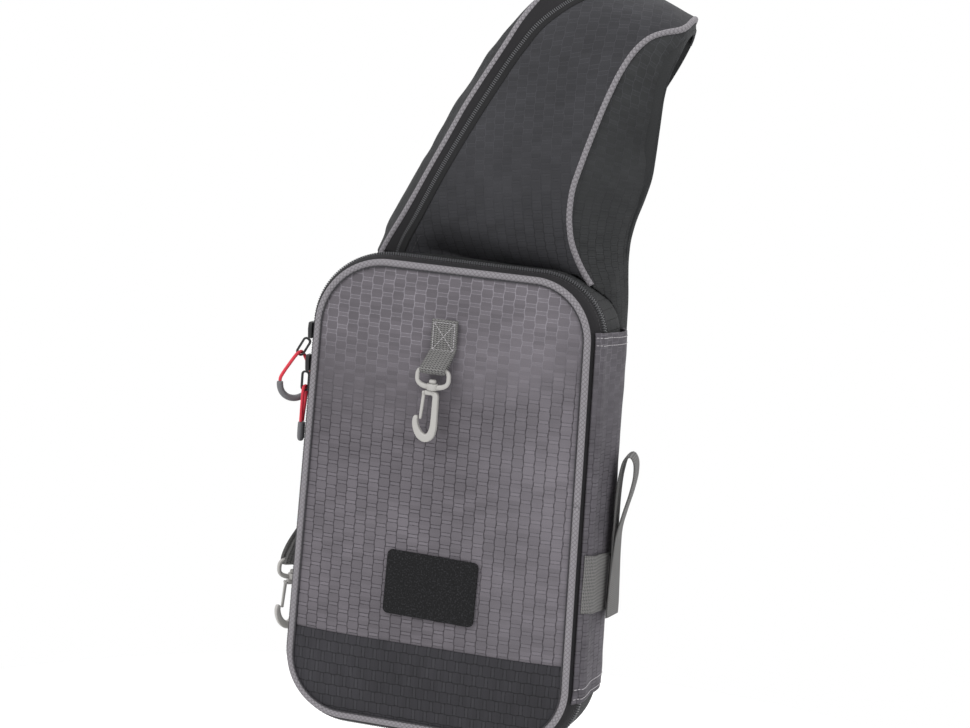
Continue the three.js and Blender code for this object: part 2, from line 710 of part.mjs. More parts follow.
// Webbing sewn flat, then bent out and round the eye's upper bar and back up under itself.
// Its path is drawn by height and by distance off the cloth that it is sewn to.
function hookWebbing({ sewnTop, sewnFoot, barHeight, barOut, drift, turn }) {
  const inner = GAP + WEBBING_THICKNESS / 2;
  const outer = inner + WEBBING_THICKNESS + GAP;
  const bend = 0.5 * Math.hypot(EYE_BAR, EYE_THICKNESS) + GAP + WEBBING_THICKNESS / 2;
  const arc = range(6).map((share) => Math.PI * share);
  const under = arc.map((angle) => ({
    out: barOut - bend * Math.cos(angle),
    z: barHeight - bend * Math.sin(angle),
  }));
  const rows = [
    { out: inner, z: sewnTop },
    { out: inner, z: sewnFoot + 3 },
    ...under,
    { out: outer, z: sewnFoot + 3 },
    { out: outer, z: sewnTop },
  ];
  const rings = rows.map((row, i) => {
    const before = rows[Math.max(i - 1, 0)];
    const after = rows[Math.min(i + 1, rows.length - 1)];
    const length = Math.hypot(after.out - before.out, after.z - before.z);
    const face = { out: (after.z - before.z) / length, z: (before.out - after.out) / length };
    const fall = THREE.MathUtils.clamp((sewnFoot + 3 - row.z) / (sewnFoot + 3 - barHeight), 0, 1);
    const axis = new THREE.Vector3(drift * fall, -barOut, row.z);
    const place = (w, t) => new THREE.Vector3(w, barOut - row.out - face.out * t, face.z * t)
      .applyAxisAngle(up, turn * fall)
      .add(axis);
    const [w, t] = [WEBBING_WIDTH / 2, WEBBING_THICKNESS / 2];
    return [place(-w, -t), place(w, -t), place(w, t), place(-w, t)];
  });
  return loft(rings);
}

// Front holder, on the upper panel
const frontHolder = {
  x: -2.3, pinX: -5.9, eyeFoot: 249.8, sewnTop: 299.5, sewnFoot: 275.5,
};
function addFrontHolder() {
  const tab = hookWebbing({
    sewnTop: frontHolder.sewnTop,
    sewnFoot: frontHolder.sewnFoot,
    barHeight: frontHolder.eyeFoot + EYE_HEIGHT - EYE_BAR / 2,
    barOut: FRONT_STANDOFF,
    drift: frontHolder.pinX - frontHolder.x,
    turn: 0,
  });
  addPart('front_tab', tab, greyWebbing).position.set(frontHolder.x, panelCentreY, 0);
  const swivel = new THREE.Group();
  swivel.position.set(frontHolder.pinX, panelCentreY - FRONT_STANDOFF, frontHolder.eyeFoot);
  bag.add(swivel);
  addPart('front_eye', swivelEye(), greyPlastic, swivel);
  addPart('front_hook', swivelHook(), greyPlastic, swivel);
  addPart('front_gate', swivelGate(), greyPlastic, swivel);
}
addFrontHolder();

// Side holder, low on the left side
const sideHolder = { y: 9.8, eyeFoot: 82, sewnTop: 158, sewnFoot: 134 };
function addSideHolder() {
  const wallX = -(sideLine(sideHolder.sewnFoot) + SIDE_SWELL);
  const tab = hookWebbing({
    sewnTop: sideHolder.sewnTop,
    sewnFoot: sideHolder.sewnFoot,
    barHeight: sideHolder.eyeFoot + EYE_HEIGHT - EYE_BAR / 2,
    barOut: SIDE_STANDOFF,
    drift: 0,
    turn: SIDE_TURN,
  });
  const side = new THREE.Group();
  side.rotation.z = -Math.PI / 2;
  side.position.set(wallX, sideHolder.y, 0);
  bag.add(side);
  addPart('side_tab', tab, greyWebbing, side);
  const swivel = new THREE.Group();
  swivel.position.set(0, -SIDE_STANDOFF, sideHolder.eyeFoot);
  swivel.rotation.z = Math.PI + SIDE_TURN;
  side.add(swivel);
  addPart('side_eye', swivelEye(), greyPlastic, swivel);
  addPart('side_hook', swivelHook(), greyPlastic, swivel);
  addPart('side_gate', swivelGate(), greyPlastic, swivel);
}
addSideHolder();

// Zip pulls: two sliders head to head on the left side, each with a slotted tab, a cord and a grip.
const zipOut = tapeGrow + ZIP_RIDGE + GAP;

function sliderBody() {
  const shape = new THREE.Shape();
  const [half, foot] = [SLIDER_WIDTH / 2, SLIDER_LENGTH / 2];
  shape.moveTo(-0.7 * half, -foot);
  shape.lineTo(0.7 * half, -foot);
  shape.lineTo(half, 0.2 * foot);
  shape.lineTo(0.8 * half, foot);
  shape.lineTo(-0.8 * half, foot);
  shape.lineTo(-half, 0.2 * foot);
  shape.closePath();
  return plate(shape, SLIDER_THICKNESS, 2, 0.6);
}

function pullTab() {
  const shape = roundedRectangle(PULL_WIDTH, PULL_LENGTH, 2.8);
  const slot = roundedRectangle(PULL_WIDTH - 2 * PULL_RIM, PULL_LENGTH - 2 * PULL_RIM, 1.7);
  shape.holes.push(new THREE.Path(slot.getPoints(3)));
  const geometry = plate(shape, PULL_THICKNESS, 3);
  geometry.translate(0, PULL_THICKNESS / 2, -PULL_LENGTH / 2);
  return geometry;
}

const zipPulls = {
  upper: { sliderZ: 276.5, tabTilt: 28.5 },
  lower: { sliderZ: 252.5, tabTilt: 0 },
};

// Cord routes, chosen by hand: from one end of the grip, square through the tab's slot, and back
// to the grip's other end.
const upperCordRoute = [
  [-132.2, -28.2, 237.2], [-132, -28.2, 239.4], [-129.4, -28.1, 244.5], [-126, -27.9, 250],
  [-122.6, -27.6, 255.4], [-120.6, -26.9, 258.3], [-119.6, -25.3, 259.3], [-119.4, -23.7, 259.4],
  [-119.2, -22.1, 259.3], [-118.4, -20.7, 258], [-117, -18.9, 254.6], [-115.5, -17, 250],
  [-114.2, -15.2, 245.4], [-113.5, -13.9, 241.4], [-113.4, -13.6, 239],
];
const lowerCordRoute = [
  [-115, -25.5, 208.6], [-115, -25.5, 211], [-114.8, -26, 216], [-114.5, -26.6, 222],
  [-114.3, -27, 227], [-114.2, -27.1, 230.4], [-114.2, -26.7, 232.8], [-114.2, -25.3, 234.6],
  [-114.2, -23.7, 234.7], [-114.2, -22.1, 234.6], [-114.2, -20.7, 232.8], [-114.2, -20.3, 230.4],
  [-114.3, -20.4, 227], [-114.5, -20.8, 222], [-114.8, -21.4, 216], [-115, -21.9, 211],
  [-115, -21.9, 208.6],
];
const routePoints = (route) => route.map(([x, y, z]) => new THREE.Vector3(x, y, z));

function cordSolid(route) {
  return tube(routePoints(route), CORD_DIAMETER / 2, 8, 26);
}

// The upper grip is a half ring between the cord's two ends.
function upperGrip() {
  const start = routePoints(upperCordRoute).at(0);
  const end = routePoints(upperCordRoute).at(-1);
  const centre = start.clone().lerp(end, 0.5);
  const half = end.clone().sub(start).multiplyScalar(0.5);
  const reach = half.length();
  const drop = new THREE.Vector3(0, 0, -1);
  const bottom = range(8).map((share) => {
    const angle = Math.PI * share;
    return centre.clone()
      .addScaledVector(half, -Math.cos(angle))
      .addScaledVector(drop, 1.5 + GAP + reach * Math.sin(angle));
  });
  const ends = [start, end].map((point) => point.clone().addScaledVector(drop, GAP));
  return tube([ends[0], ...bottom, ends[1]], GRIP_DIAMETER / 2, 8, 16);
}

// The lower grip is a round-ended barrel over both of the cord's ends.
function lowerGrip() {
  const radius = GRIP_DIAMETER / 2 + 0.1;
  const length = 14.4;
  const profile = [
    [0, 0], [0.55 * radius, 0.35], [0.9 * radius, 1.9], [radius, 4.5],
    [radius, length - 1], [0.9 * radius, length], [0, length],
  ].map(([r, z]) => new THREE.Vector2(r, z));
  const geometry = new THREE.LatheGeometry(profile, 12);
  geometry.rotateX(Math.PI / 2);
  geometry.scale(1, 1.35, 1);
  const [from, to] = [routePoints(lowerCordRoute).at(0), routePoints(lowerCordRoute).at(-1)];
  const top = from.clone().lerp(to, 0.5);
  geometry.translate(top.x, top.y, top.z - GAP - length);
  return geometry;
}

function addZipPull(name, { sliderZ, tabTilt }, route, grip) {
  const surface = -sideReach(sliderZ, 1, zipOut);
  const slider = addPart(`${name}_slider`, sliderBody(), blackPlastic);
  slider.rotation.z = -Math.PI / 2;
  slider.position.set(surface, zipY, sliderZ);
  const tab = addPart(`${name}_pull_tab`, pullTab(), blackPlastic);
  tab.rotation.y = THREE.MathUtils.degToRad(tabTilt);
  const tabTop = sliderZ - SLIDER_LENGTH / 2 - GAP;
  tab.position.set(surface - PULL_WIDTH / 2 - GAP, zipY, tabTop);
  addPart(`${name}_pull_cord`, cordSolid(route), redCord);
  addPart(`${name}_grip`, grip, gripRubber);
}
addZipPull('upper', zipPulls.upper, upperCordRoute, upperGrip());
addZipPull('lower', zipPulls.lower, lowerCordRoute, lowerGrip());

// Shoulder strap. It is one flat loop: `u` runs up along its lean, `v` runs back along Y.
const innerFront = 15;
const strapTopZ = CASE_HEIGHT + 8.5;
const strapLoop = new THREE.CurvePath();
const vu = (v, u) => new THREE.Vector2(v, u);
const riseTop = STRAP_RISE - STRAP_BURY;
const innerBack = innerFront + 2 * SHOULDER_RADIUS;
strapLoop.add(new THREE.CubicBezierCurve(
  vu(backY - 3, -STRAP_BURY), vu(backY - 3, 30), vu(innerFront, 0.6 * riseTop), vu(innerFront, riseTop),
));
strapLoop.add(new THREE.EllipseCurve(
  innerFront + SHOULDER_RADIUS, riseTop, SHOULDER_RADIUS, SHOULDER_RADIUS, Math.PI, 0, true,
));
strapLoop.add(new THREE.CubicBezierCurve(
  vu(innerBack, riseTop),
  vu(innerBack + 9, -10),
  vu(backY + 12, -0.5 * TAIL_DROP),
  vu(backY - 0.6, -TAIL_DROP),
));
const loopLength = strapLoop.getLength();
const [frontRun, shoulderRun] = strapLoop.curves.map((curve) => curve.getLength());

// Columns: distance along the strap as a share of the front and shoulder runs, tilt as a share
// of the lean, and the places of the seams across it as shares of the strap's width; `lift` and
// `crown` are the pocket's height off the pad and its bulge, as shares of the strap's depth.
const strapColumns = ['at', 'tilt', 'left', 'pipeLeft', 'zip', 'pipeRight', 'right', 'lift', 'crown'];
const strapSections = [
  [0, 0.2, -0.475, -0.405, -0.321, 0.532, 0.545, 0.84, 0.04],
  [0.073, 0.34, -0.478, -0.389, -0.326, 0.437, 0.498, 0.84, 0.06],
  [0.135, 0.49, -0.456, -0.363, -0.305, 0.353, 0.462, 0.86, 0.08],
  [0.196, 0.63, -0.438, -0.342, -0.289, 0.284, 0.436, 0.88, 0.09],
  [0.257, 0.76, -0.412, -0.326, -0.274, 0.237, 0.425, 0.86, 0.09],
  [0.318, 0.85, -0.393, -0.311, -0.258, 0.205, 0.425, 0.8, 0.09],
  [0.379, 0.93, -0.371, -0.3, -0.242, 0.195, 0.42, 0.72, 0.08],
  [0.44, 0.98, -0.35, -0.284, -0.226, 0.184, 0.395, 0.61, 0.08],
  [0.502, 1, -0.322, -0.268, -0.211, 0.174, 0.365, 0.5, 0.07],
  [0.563, 1, -0.298, -0.258, -0.189, 0.179, 0.345, 0.38, 0.06],
  [0.612, 1, -0.274, -0.241, -0.142, 0.195, 0.32, 0.3, 0.06],
  [0.657, 1, -0.254, -0.23, -0.095, 0.235, 0.305, 0.26, 0.05],
  [0.703, 1, -0.247, -0.224, -0.06, 0.262, 0.295, 0.24, 0.04],
  [0.768, 1, -0.252, -0.222, -0.035, 0.24, 0.27, 0.23, 0.03],
  [0.88, 1, -0.258, -0.226, -0.03, 0.205, 0.236, 0.22, 0.02],
  [1, 1, -0.265, -0.23, -0.03, 0.18, 0.215, 0.21, 0],
  [1.22, 1, -0.215, -0.18, -0.03, 0.13, 0.165, 0.2, 0],
  [1.42, 1, -0.14, -0.1, -0.03, 0.07, 0.1, 0.2, 0],
  [1.5, 1, -0.122, -0.1, -0.03, 0.05, 0.082, 0.2, 0],
].map((row) => Object.fromEntries(strapColumns.map((name, i) => [name, row[i]])));
const visibleRun = frontRun + shoulderRun;
const pocketEnd = 0.88;
const padEnd = 1.5;
const PAD_STATIONS = 42;

function sectionAt(along) {
  const share = along / visibleRun;
  const last = strapSections.length - 1;
  const found = strapSections.findIndex((row) => row.at >= share);
  const next = found < 0 ? last : Math.max(found, 1);
  const [low, high] = [strapSections[next - 1], strapSections[next]];
  const mix = THREE.MathUtils.clamp((share - low.at) / (high.at - low.at), 0, 1);
  return Object.fromEntries(Object.keys(low).map((key) => [key, lerp(low[key], high[key], mix)]));
}

// The point at a distance along the strap, w across it and `out` off its inner face.
function strapPoint(along, w, out) {
  const share = THREE.MathUtils.clamp(along / loopLength, 0, 1);
  const at = strapLoop.getPoint(share);
  const tangent = strapLoop.getTangent(share);
  const v = at.x - tangent.y * out;
  const u = at.y + tangent.x * out;
  const tilt = STRAP_LEAN * sectionAt(along).tilt;
  return new THREE.Vector3(
    STRAP_ROOT_X + u * Math.sin(STRAP_LEAN) + w * Math.cos(tilt),
    v,
    strapTopZ + u * Math.cos(STRAP_LEAN) - w * Math.sin(tilt),
  );
}

// Height of the pocket's face off the strap's inner face at w.
function pocketOut(section, w) {
  const left = section.pipeLeft * STRAP_WIDTH;
  const right = section.pipeRight * STRAP_WIDTH;
  const share = THREE.MathUtils.clamp((w - left) / (right - left), 0, 1);
  return (section.lift + 4 * section.crown * share * (1 - share)) * STRAP_DEPTH;
}

// Every piece of the strap is built on the same stations, so that neighbours keep their gap.
const stations = range(PAD_STATIONS).map((share) => share * padEnd * visibleRun);
const stationsTo = (end) => stations.filter((along) => along <= end * visibleRun + 1e-6);

// A seam's place across the strap, and how much wider a round piece on it cuts there.
const seamAt = (key, along) => sectionAt(along)[key] * STRAP_WIDTH;
const seamStretch = (key, along) => Math.hypot(1, (seamAt(key, along + 4) - seamAt(key, along - 4)) / 8);
const besideSeam = (key, along, side) =>
  seamAt(key, along) + side * (STRAP_PIPING_RADIUS + GAP) * seamStretch(key, along);

// A sheet of the strap; `low` and `high` give its edges across the strap.
function strapSheet({ columns, low, high, thickness, raise = 0 }) {
  const rings = stationsTo(pocketEnd).map((along) => {
    const section = sectionAt(along);
    const widths = range(columns).map((share) => lerp(low(along), high(along), share));
    const outer = widths.map((w) => strapPoint(along, w, pocketOut(section, w) + raise));
    const inner = widths.map((w) => strapPoint(along, w, pocketOut(section, w) + raise - thickness));
    return [...outer, ...inner.reverse()];
  });
  return loft(rings);
}

const strapTrim = caseCutter();
const trimmed = (geometry) => carve(geometry, strapTrim);
const zipEdge = STRAP_ZIP_WIDTH / 2;

function strapBackPad() {
  const rings = stations.map((along) => {
    const section = sectionAt(along);
    const widths = range(3).map((share) => lerp(section.left, section.right, share) * STRAP_WIDTH);
    const outer = widths.map((w) => strapPoint(along, w, STRAP_PAD));
    const inner = widths.map((w) => strapPoint(along, w, 0));
    return [...outer, ...inner.reverse()];
  });
  return trimmed(loft(rings));
}
addPart('strap_back_pad', strapBackPad(), plainBlack);

addPart('strap_zip_band', trimmed(strapSheet({
  columns: 1,
  low: (along) => besideSeam('pipeLeft', along, 1),
  high: (along) => seamAt('zip', along) - zipEdge - GAP,
  thickness: CLOTH,
})), plainBlack);

addPart('strap_zip', trimmed(strapSheet({
  columns: 1,
  low: (along) => seamAt('zip', along) - zipEdge,
  high: (along) => seamAt('zip', along) + zipEdge,
  thickness: STRAP_ZIP_THICKNESS,
  raise: 0.4,
})), zipNylon);

addPart('strap_front_panel', trimmed(strapSheet({
  columns: 5,
  low: (along) => seamAt('zip', along) + zipEdge + GAP,
  high: (along) => besideSeam('pipeRight', along, -1),
  thickness: CLOTH,
})), blackCloth);

// A side wall from the pad's edge up to the piping, bowed out a little.
function strapWall(to, edge, seam, direction) {
  const bow = 0.06 * STRAP_DEPTH;
  const grid = stationsTo(to).map((along) => {
    const section = sectionAt(along);
    const head = new THREE.Vector2(seamAt(seam, along), section.lift * STRAP_DEPTH);
    const foot = new THREE.Vector2(section[edge] * STRAP_WIDTH, STRAP_PAD);
    const run = head.clone().sub(foot);
    foot.y += GAP + CLOTH * (0.3 + Math.abs(run.x) / run.length());
    head.addScaledVector(run.clone().normalize(), -(STRAP_PIPING_RADIUS + GAP) * seamStretch(seam, along));
    const outward = new THREE.Vector2(-run.y, run.x).normalize().multiplyScalar(direction);
    return range(3).map((share) => {
      const point = foot.clone().lerp(head, share).addScaledVector(outward, bow * Math.sin(Math.PI * share));
      return strapPoint(along, point.x, point.y);
    });
  });
  return trimmed(wall(grid, CLOTH, direction));
}
addPart('strap_left_wall', strapWall(0.64, 'left', 'pipeLeft', 1), blackCloth);
addPart('strap_side_panel', strapWall(0.66, 'right', 'pipeRight', -1), blackCloth);

function strapPiping(seam) {
  const angles = range(8).slice(0, -1).map((share) => 2 * Math.PI * share);
  const rings = stationsTo(pocketEnd).map((along) => {
    const stretch = STRAP_PIPING_RADIUS * seamStretch(seam, along);
    const out = sectionAt(along).lift * STRAP_DEPTH;
    return angles.map((angle) => strapPoint(
      along,
      seamAt(seam, along) + stretch * Math.cos(angle),
      out + STRAP_PIPING_RADIUS * Math.sin(angle),
    ));
  });
  return trimmed(loft(rings));
}
addPart('strap_left_piping', strapPiping('pipeLeft'), pipingCloth);
addPart('strap_right_piping', strapPiping('pipeRight'), pipingCloth);

// A frame on the strap: its origin `out` off the inner face, Y outward and Z back along the strap.
function strapFrame(along, w, out) {
  const origin = strapPoint(along, w, out);
  const outward = strapPoint(along, w, out + 1).sub(origin).normalize();
  const across = strapPoint(along, w + 1, out).sub(origin).normalize();
  const up = across.clone().cross(outward).normalize();
  const frame = new THREE.Matrix4().makeBasis(across, outward, up);
  return frame.setPosition(origin);
}

function seatOnStrap(mesh, along, w, out) {
  mesh.applyMatrix4(strapFrame(along, w, out));
  return mesh;
}

const zipSlider = addPart('strap_zip_slider', sliderBody(), blackPlastic);
const sliderAlong = 0.735 * visibleRun;
const sliderSection = sectionAt(sliderAlong);
const sliderW = seamAt('zip', sliderAlong);
const sliderSeat = pocketOut(sliderSection, sliderW) + 0.4 + GAP + SLIDER_THICKNESS;
seatOnStrap(zipSlider, sliderAlong, sliderW, sliderSeat);

// Behind: a plain ring, webbing, a plain buckle and the webbing of the corner tab.
const tailCentre = -0.02 * STRAP_WIDTH;
const cornerCentre = 8;
const padTip = padEnd * visibleRun;
const buckleTop = loopLength - 130;
const tailW = (along) => lerp(tailCentre, cornerCentre, (along - padTip) / (loopLength - padTip));

function plainPiece(width, length, thickness, radius, bevel) {
  const geometry = plate(roundedRectangle(width, length, radius), thickness, 3, bevel);
  geometry.translate(0, thickness / 2, 0);
  return geometry;
}
const ringAlong = padTip + GAP + RING_LENGTH / 2;
const ringBlock = plainPiece(TAIL_WEBBING_WIDTH + 8, RING_LENGTH, RING_THICKNESS, 4, 0.8);
seatOnStrap(addPart('strap_ring', ringBlock, blackPlastic), ringAlong, tailW(ringAlong), STRAP_PAD / 2);

function tailStrip(from, to, steps, out) {
  const half = TAIL_WEBBING_WIDTH / 2;
  const rings = range(steps).map((share) => {
    const along = lerp(from, to, share);
    const w = tailW(along);
    const low = [w - half, w + half].map((edge) => strapPoint(along, edge, out));
    const high = [w + half, w - half].map((edge) => strapPoint(along, edge, out + WEBBING_THICKNESS));
    return [...low, ...high];
  });
  return loft(rings);
}
const webbingOut = STRAP_PAD / 2 - WEBBING_THICKNESS / 2;
const ringEnd = ringAlong + RING_LENGTH / 2 + GAP;
addPart('strap_webbing', tailStrip(ringEnd, buckleTop - GAP, 14, webbingOut), blackWebbing);
const cornerStart = buckleTop + BUCKLE_LENGTH + GAP;
addPart('corner_webbing', tailStrip(cornerStart, loopLength, 8, webbingOut), blackWebbing);

const buckleAlong = buckleTop + BUCKLE_LENGTH / 2;
const buckleBlock = plainPiece(BUCKLE_WIDTH, BUCKLE_LENGTH, BUCKLE_THICKNESS, 8, 2);
const buckle = addPart('strap_buckle', buckleBlock, blackPlastic);
seatOnStrap(buckle, buckleAlong, tailW(buckleAlong), STRAP_PAD / 2);

// The corner tab is sewn into the lower left corner of the back and carries the webbing.
function cornerTab() {
  const tip = strapPoint(loopLength, cornerCentre, 0);
  const half = TAIL_WEBBING_WIDTH / 2;
  const across = new THREE.Vector2(Math.cos(STRAP_LEAN), -Math.sin(STRAP_LEAN));
  const up = new THREE.Vector2(Math.sin(STRAP_LEAN), Math.cos(STRAP_LEAN));
  const head = new THREE.Vector2(tip.x, tip.z).addScaledVector(up, 16);
  const edge = -BACK_TUCK;
  const left = new THREE.Vector2(sideReach(50, -1, edge), 50);
  const foot = new THREE.Vector2(-62, -edge);
  const bend = new THREE.Vector2(sideReach(20, -1, edge), 20);
  const shape = new THREE.Shape([
    head.clone().addScaledVector(across, -half),
    left,
    bend,
    foot,
    head.clone().addScaledVector(across, half),
  ]);
  const geometry = plate(shape, TAB_THICKNESS, 1);
  geometry.translate(0, backY + GAP + TAB_THICKNESS, 0);
  return geometry;
}
addPart('corner_tab', cornerTab(), plainBlack);

// The origin: the underside of the strap where it lies on the shoulder.
const shoulderTop = strapPoint(frontRun + shoulderRun / 2, 0, 0);
bag.position.copy(shoulderTop).negate();

export default root;
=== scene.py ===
# %% [markdown]
# # Looks for a fishing tackle sling bag
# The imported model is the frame. Each cloth piece is made again as a fine grid surface on the same
# curves as the solid it stands for, and gets a procedural material named for the real one.
# Lengths in the formulas are millimetres in the case's own frame: x to the right, y back, z up,
# with z = 0 at the case's foot. `place` turns them into metres with the origin at the shoulder.

import math

import bmesh
import bpy
import numpy as np
from mathutils import Matrix, Vector


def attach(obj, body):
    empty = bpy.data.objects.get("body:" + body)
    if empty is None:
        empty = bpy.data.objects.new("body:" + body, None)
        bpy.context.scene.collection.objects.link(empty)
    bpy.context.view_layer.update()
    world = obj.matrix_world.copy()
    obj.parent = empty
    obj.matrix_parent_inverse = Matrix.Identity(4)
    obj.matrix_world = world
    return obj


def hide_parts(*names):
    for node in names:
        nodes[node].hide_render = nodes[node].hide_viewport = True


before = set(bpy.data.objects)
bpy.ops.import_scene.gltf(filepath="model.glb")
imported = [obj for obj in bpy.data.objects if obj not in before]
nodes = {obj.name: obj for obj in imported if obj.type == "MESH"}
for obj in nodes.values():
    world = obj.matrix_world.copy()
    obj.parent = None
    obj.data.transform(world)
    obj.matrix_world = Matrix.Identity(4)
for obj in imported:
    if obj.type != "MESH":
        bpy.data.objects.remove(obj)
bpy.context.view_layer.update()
scene = bpy.context.scene

# %% [markdown]
# ## Camera and light
# The camera stands 18 degrees round to the right, 9 degrees up, 2.2 m away, rolled by 4.4 degrees.
# Three broad lamps and a white room give the soft, even light of a catalogue picture.

# %%
SHOULDER = np.array([80.34, 63.0, 527.96])
TARGET = np.array([13.94, 0.0, 263.84])
AZIMUTH, ELEVATION, ROLL = (math.radians(a) for a in (18.0, 9.227, 4.425))
DISTANCE = 2200.0
LENS, SENSOR = 113.4, 36


def place(points):
    """metres in the row frame = (millimetres in the case's frame - the shoulder point) / 1000"""
    return (np.asarray(points, float) - SHOULDER) / 1000.0


def aim_camera():
    """Looks along -back, with right and up turned by the roll about it"""
    back = Vector((math.sin(AZIMUTH) * math.cos(ELEVATION), -math.cos(AZIMUTH) * math.cos(ELEVATION),
                   math.sin(ELEVATION)))
    right = Vector((math.cos(AZIMUTH), math.sin(AZIMUTH), 0))
    up = back.cross(right)
    rolled_right = right * math.cos(ROLL) + up * math.sin(ROLL)
    rolled_up = up * math.cos(ROLL) - right * math.sin(ROLL)
    data = bpy.data.cameras.new("camera")
    data.lens, data.sensor_width, data.clip_end = LENS, SENSOR, 50
    camera = bpy.data.objects.new("camera", data)
    scene.collection.objects.link(camera)
    turn = Matrix((rolled_right, rolled_up, back)).transposed().to_4x4()
    where = Vector(place(TARGET)) + back * DISTANCE / 1000
    camera.matrix_world = Matrix.Translation(where) @ turn
    scene.camera = camera


def add_light(name, position, energy, size):
    data = bpy.data.lights.new(name, "AREA")
    data.energy, data.size = energy, size
    lamp = bpy.data.objects.new(name, data)
    scene.collection.objects.link(lamp)
    lamp.location = position
    towards = Vector(place(TARGET)) - Vector(position)
    lamp.rotation_euler = towards.to_track_quat("-Z", "Y").to_euler()


aim_camera()
scene.render.resolution_x, scene.render.resolution_y = 970, 728
scene.view_settings.view_transform = "Standard"
scene.world = bpy.data.worlds.new("studio")
scene.world.use_nodes = True
room = scene.world.node_tree.nodes["Background"].inputs
room["Color"].default_value = (1, 1, 1, 1)
room["Strength"].default_value = 1.0
add_light("key", (-1.2, -2.0, 2.2), 46, 1.2)
add_light("fill", (2.0, -1.4, 0.6), 12, 1.4)
add_light("rim", (0.4, 1.8, 1.5), 20, 1.2)

# %% [markdown]
# ## Materials
# `Look.node` adds a node with its settings and links. Patterns read each piece's UV map, which
# holds metres along the cloth, so every size below is a real one. A thread that is too fine to show
# in the render is drawn coarser, and its function says so.

# %%
BLEND = {"data_type": "RGBA", "out": 2}


def linear(hex_colour):
    """sRGB hex to linear: c / 12.92 below 0.04045, else ((c + 0.055) / 1.055) ** 2.4"""
    parts = [int(hex_colour[i:i + 2], 16) / 255 for i in (0, 2, 4)]
    return tuple(c / 12.92 if c <= 0.04045 else ((c + 0.055) / 1.055) ** 2.4 for c in parts) + (1.0,)


class Look:
    """One material: `node` adds a node to it, and `wear` links a colour and a bump to its shader."""

    def __init__(self, name, colour, roughness=0.85, specular=0.3):
        self.material = bpy.data.materials.new(name)
        self.material.use_nodes = True
        self.tree = self.material.node_tree
        self.shader = self.tree.nodes["Principled BSDF"]
        self.material.diffuse_color = linear(colour)
        for key, value in (("Base Color", linear(colour)), ("Roughness", roughness),
                           ("Specular IOR Level", specular)):
            self.shader.inputs[key].default_value = value

    def node(self, kind, *inputs, out=0, **settings):
        """Adds a node and links or sets its inputs, given in order, or in one dict by number or
        name. A kind in capitals is the operation of a math node."""
        if kind.isupper():
            kind, settings = "Math", {"operation": kind}
        made = self.tree.nodes.new("ShaderNode" + kind)
        for key, value in settings.items():
            setattr(made, key, value)
        by_key = inputs[0] if inputs and isinstance(inputs[0], dict) else dict(enumerate(inputs))
        for key, value in by_key.items():
            if isinstance(value, bpy.types.NodeSocket):
                self.tree.links.new(value, made.inputs[key])
            else:
                made.inputs[key].default_value = value
        return made.outputs[out]

    def wear(self, colour, height, distance, strength):
        """Links a colour, if there is one, and a bump of `distance` metres"""
        bump = self.node("Bump", {"Height": height, "Distance": distance, "Strength": strength})
        self.tree.links.new(bump, self.shader.inputs["Normal"])
        if colour is not None:
            self.tree.links.new(colour, self.shader.inputs["Base Color"])
        return self.material


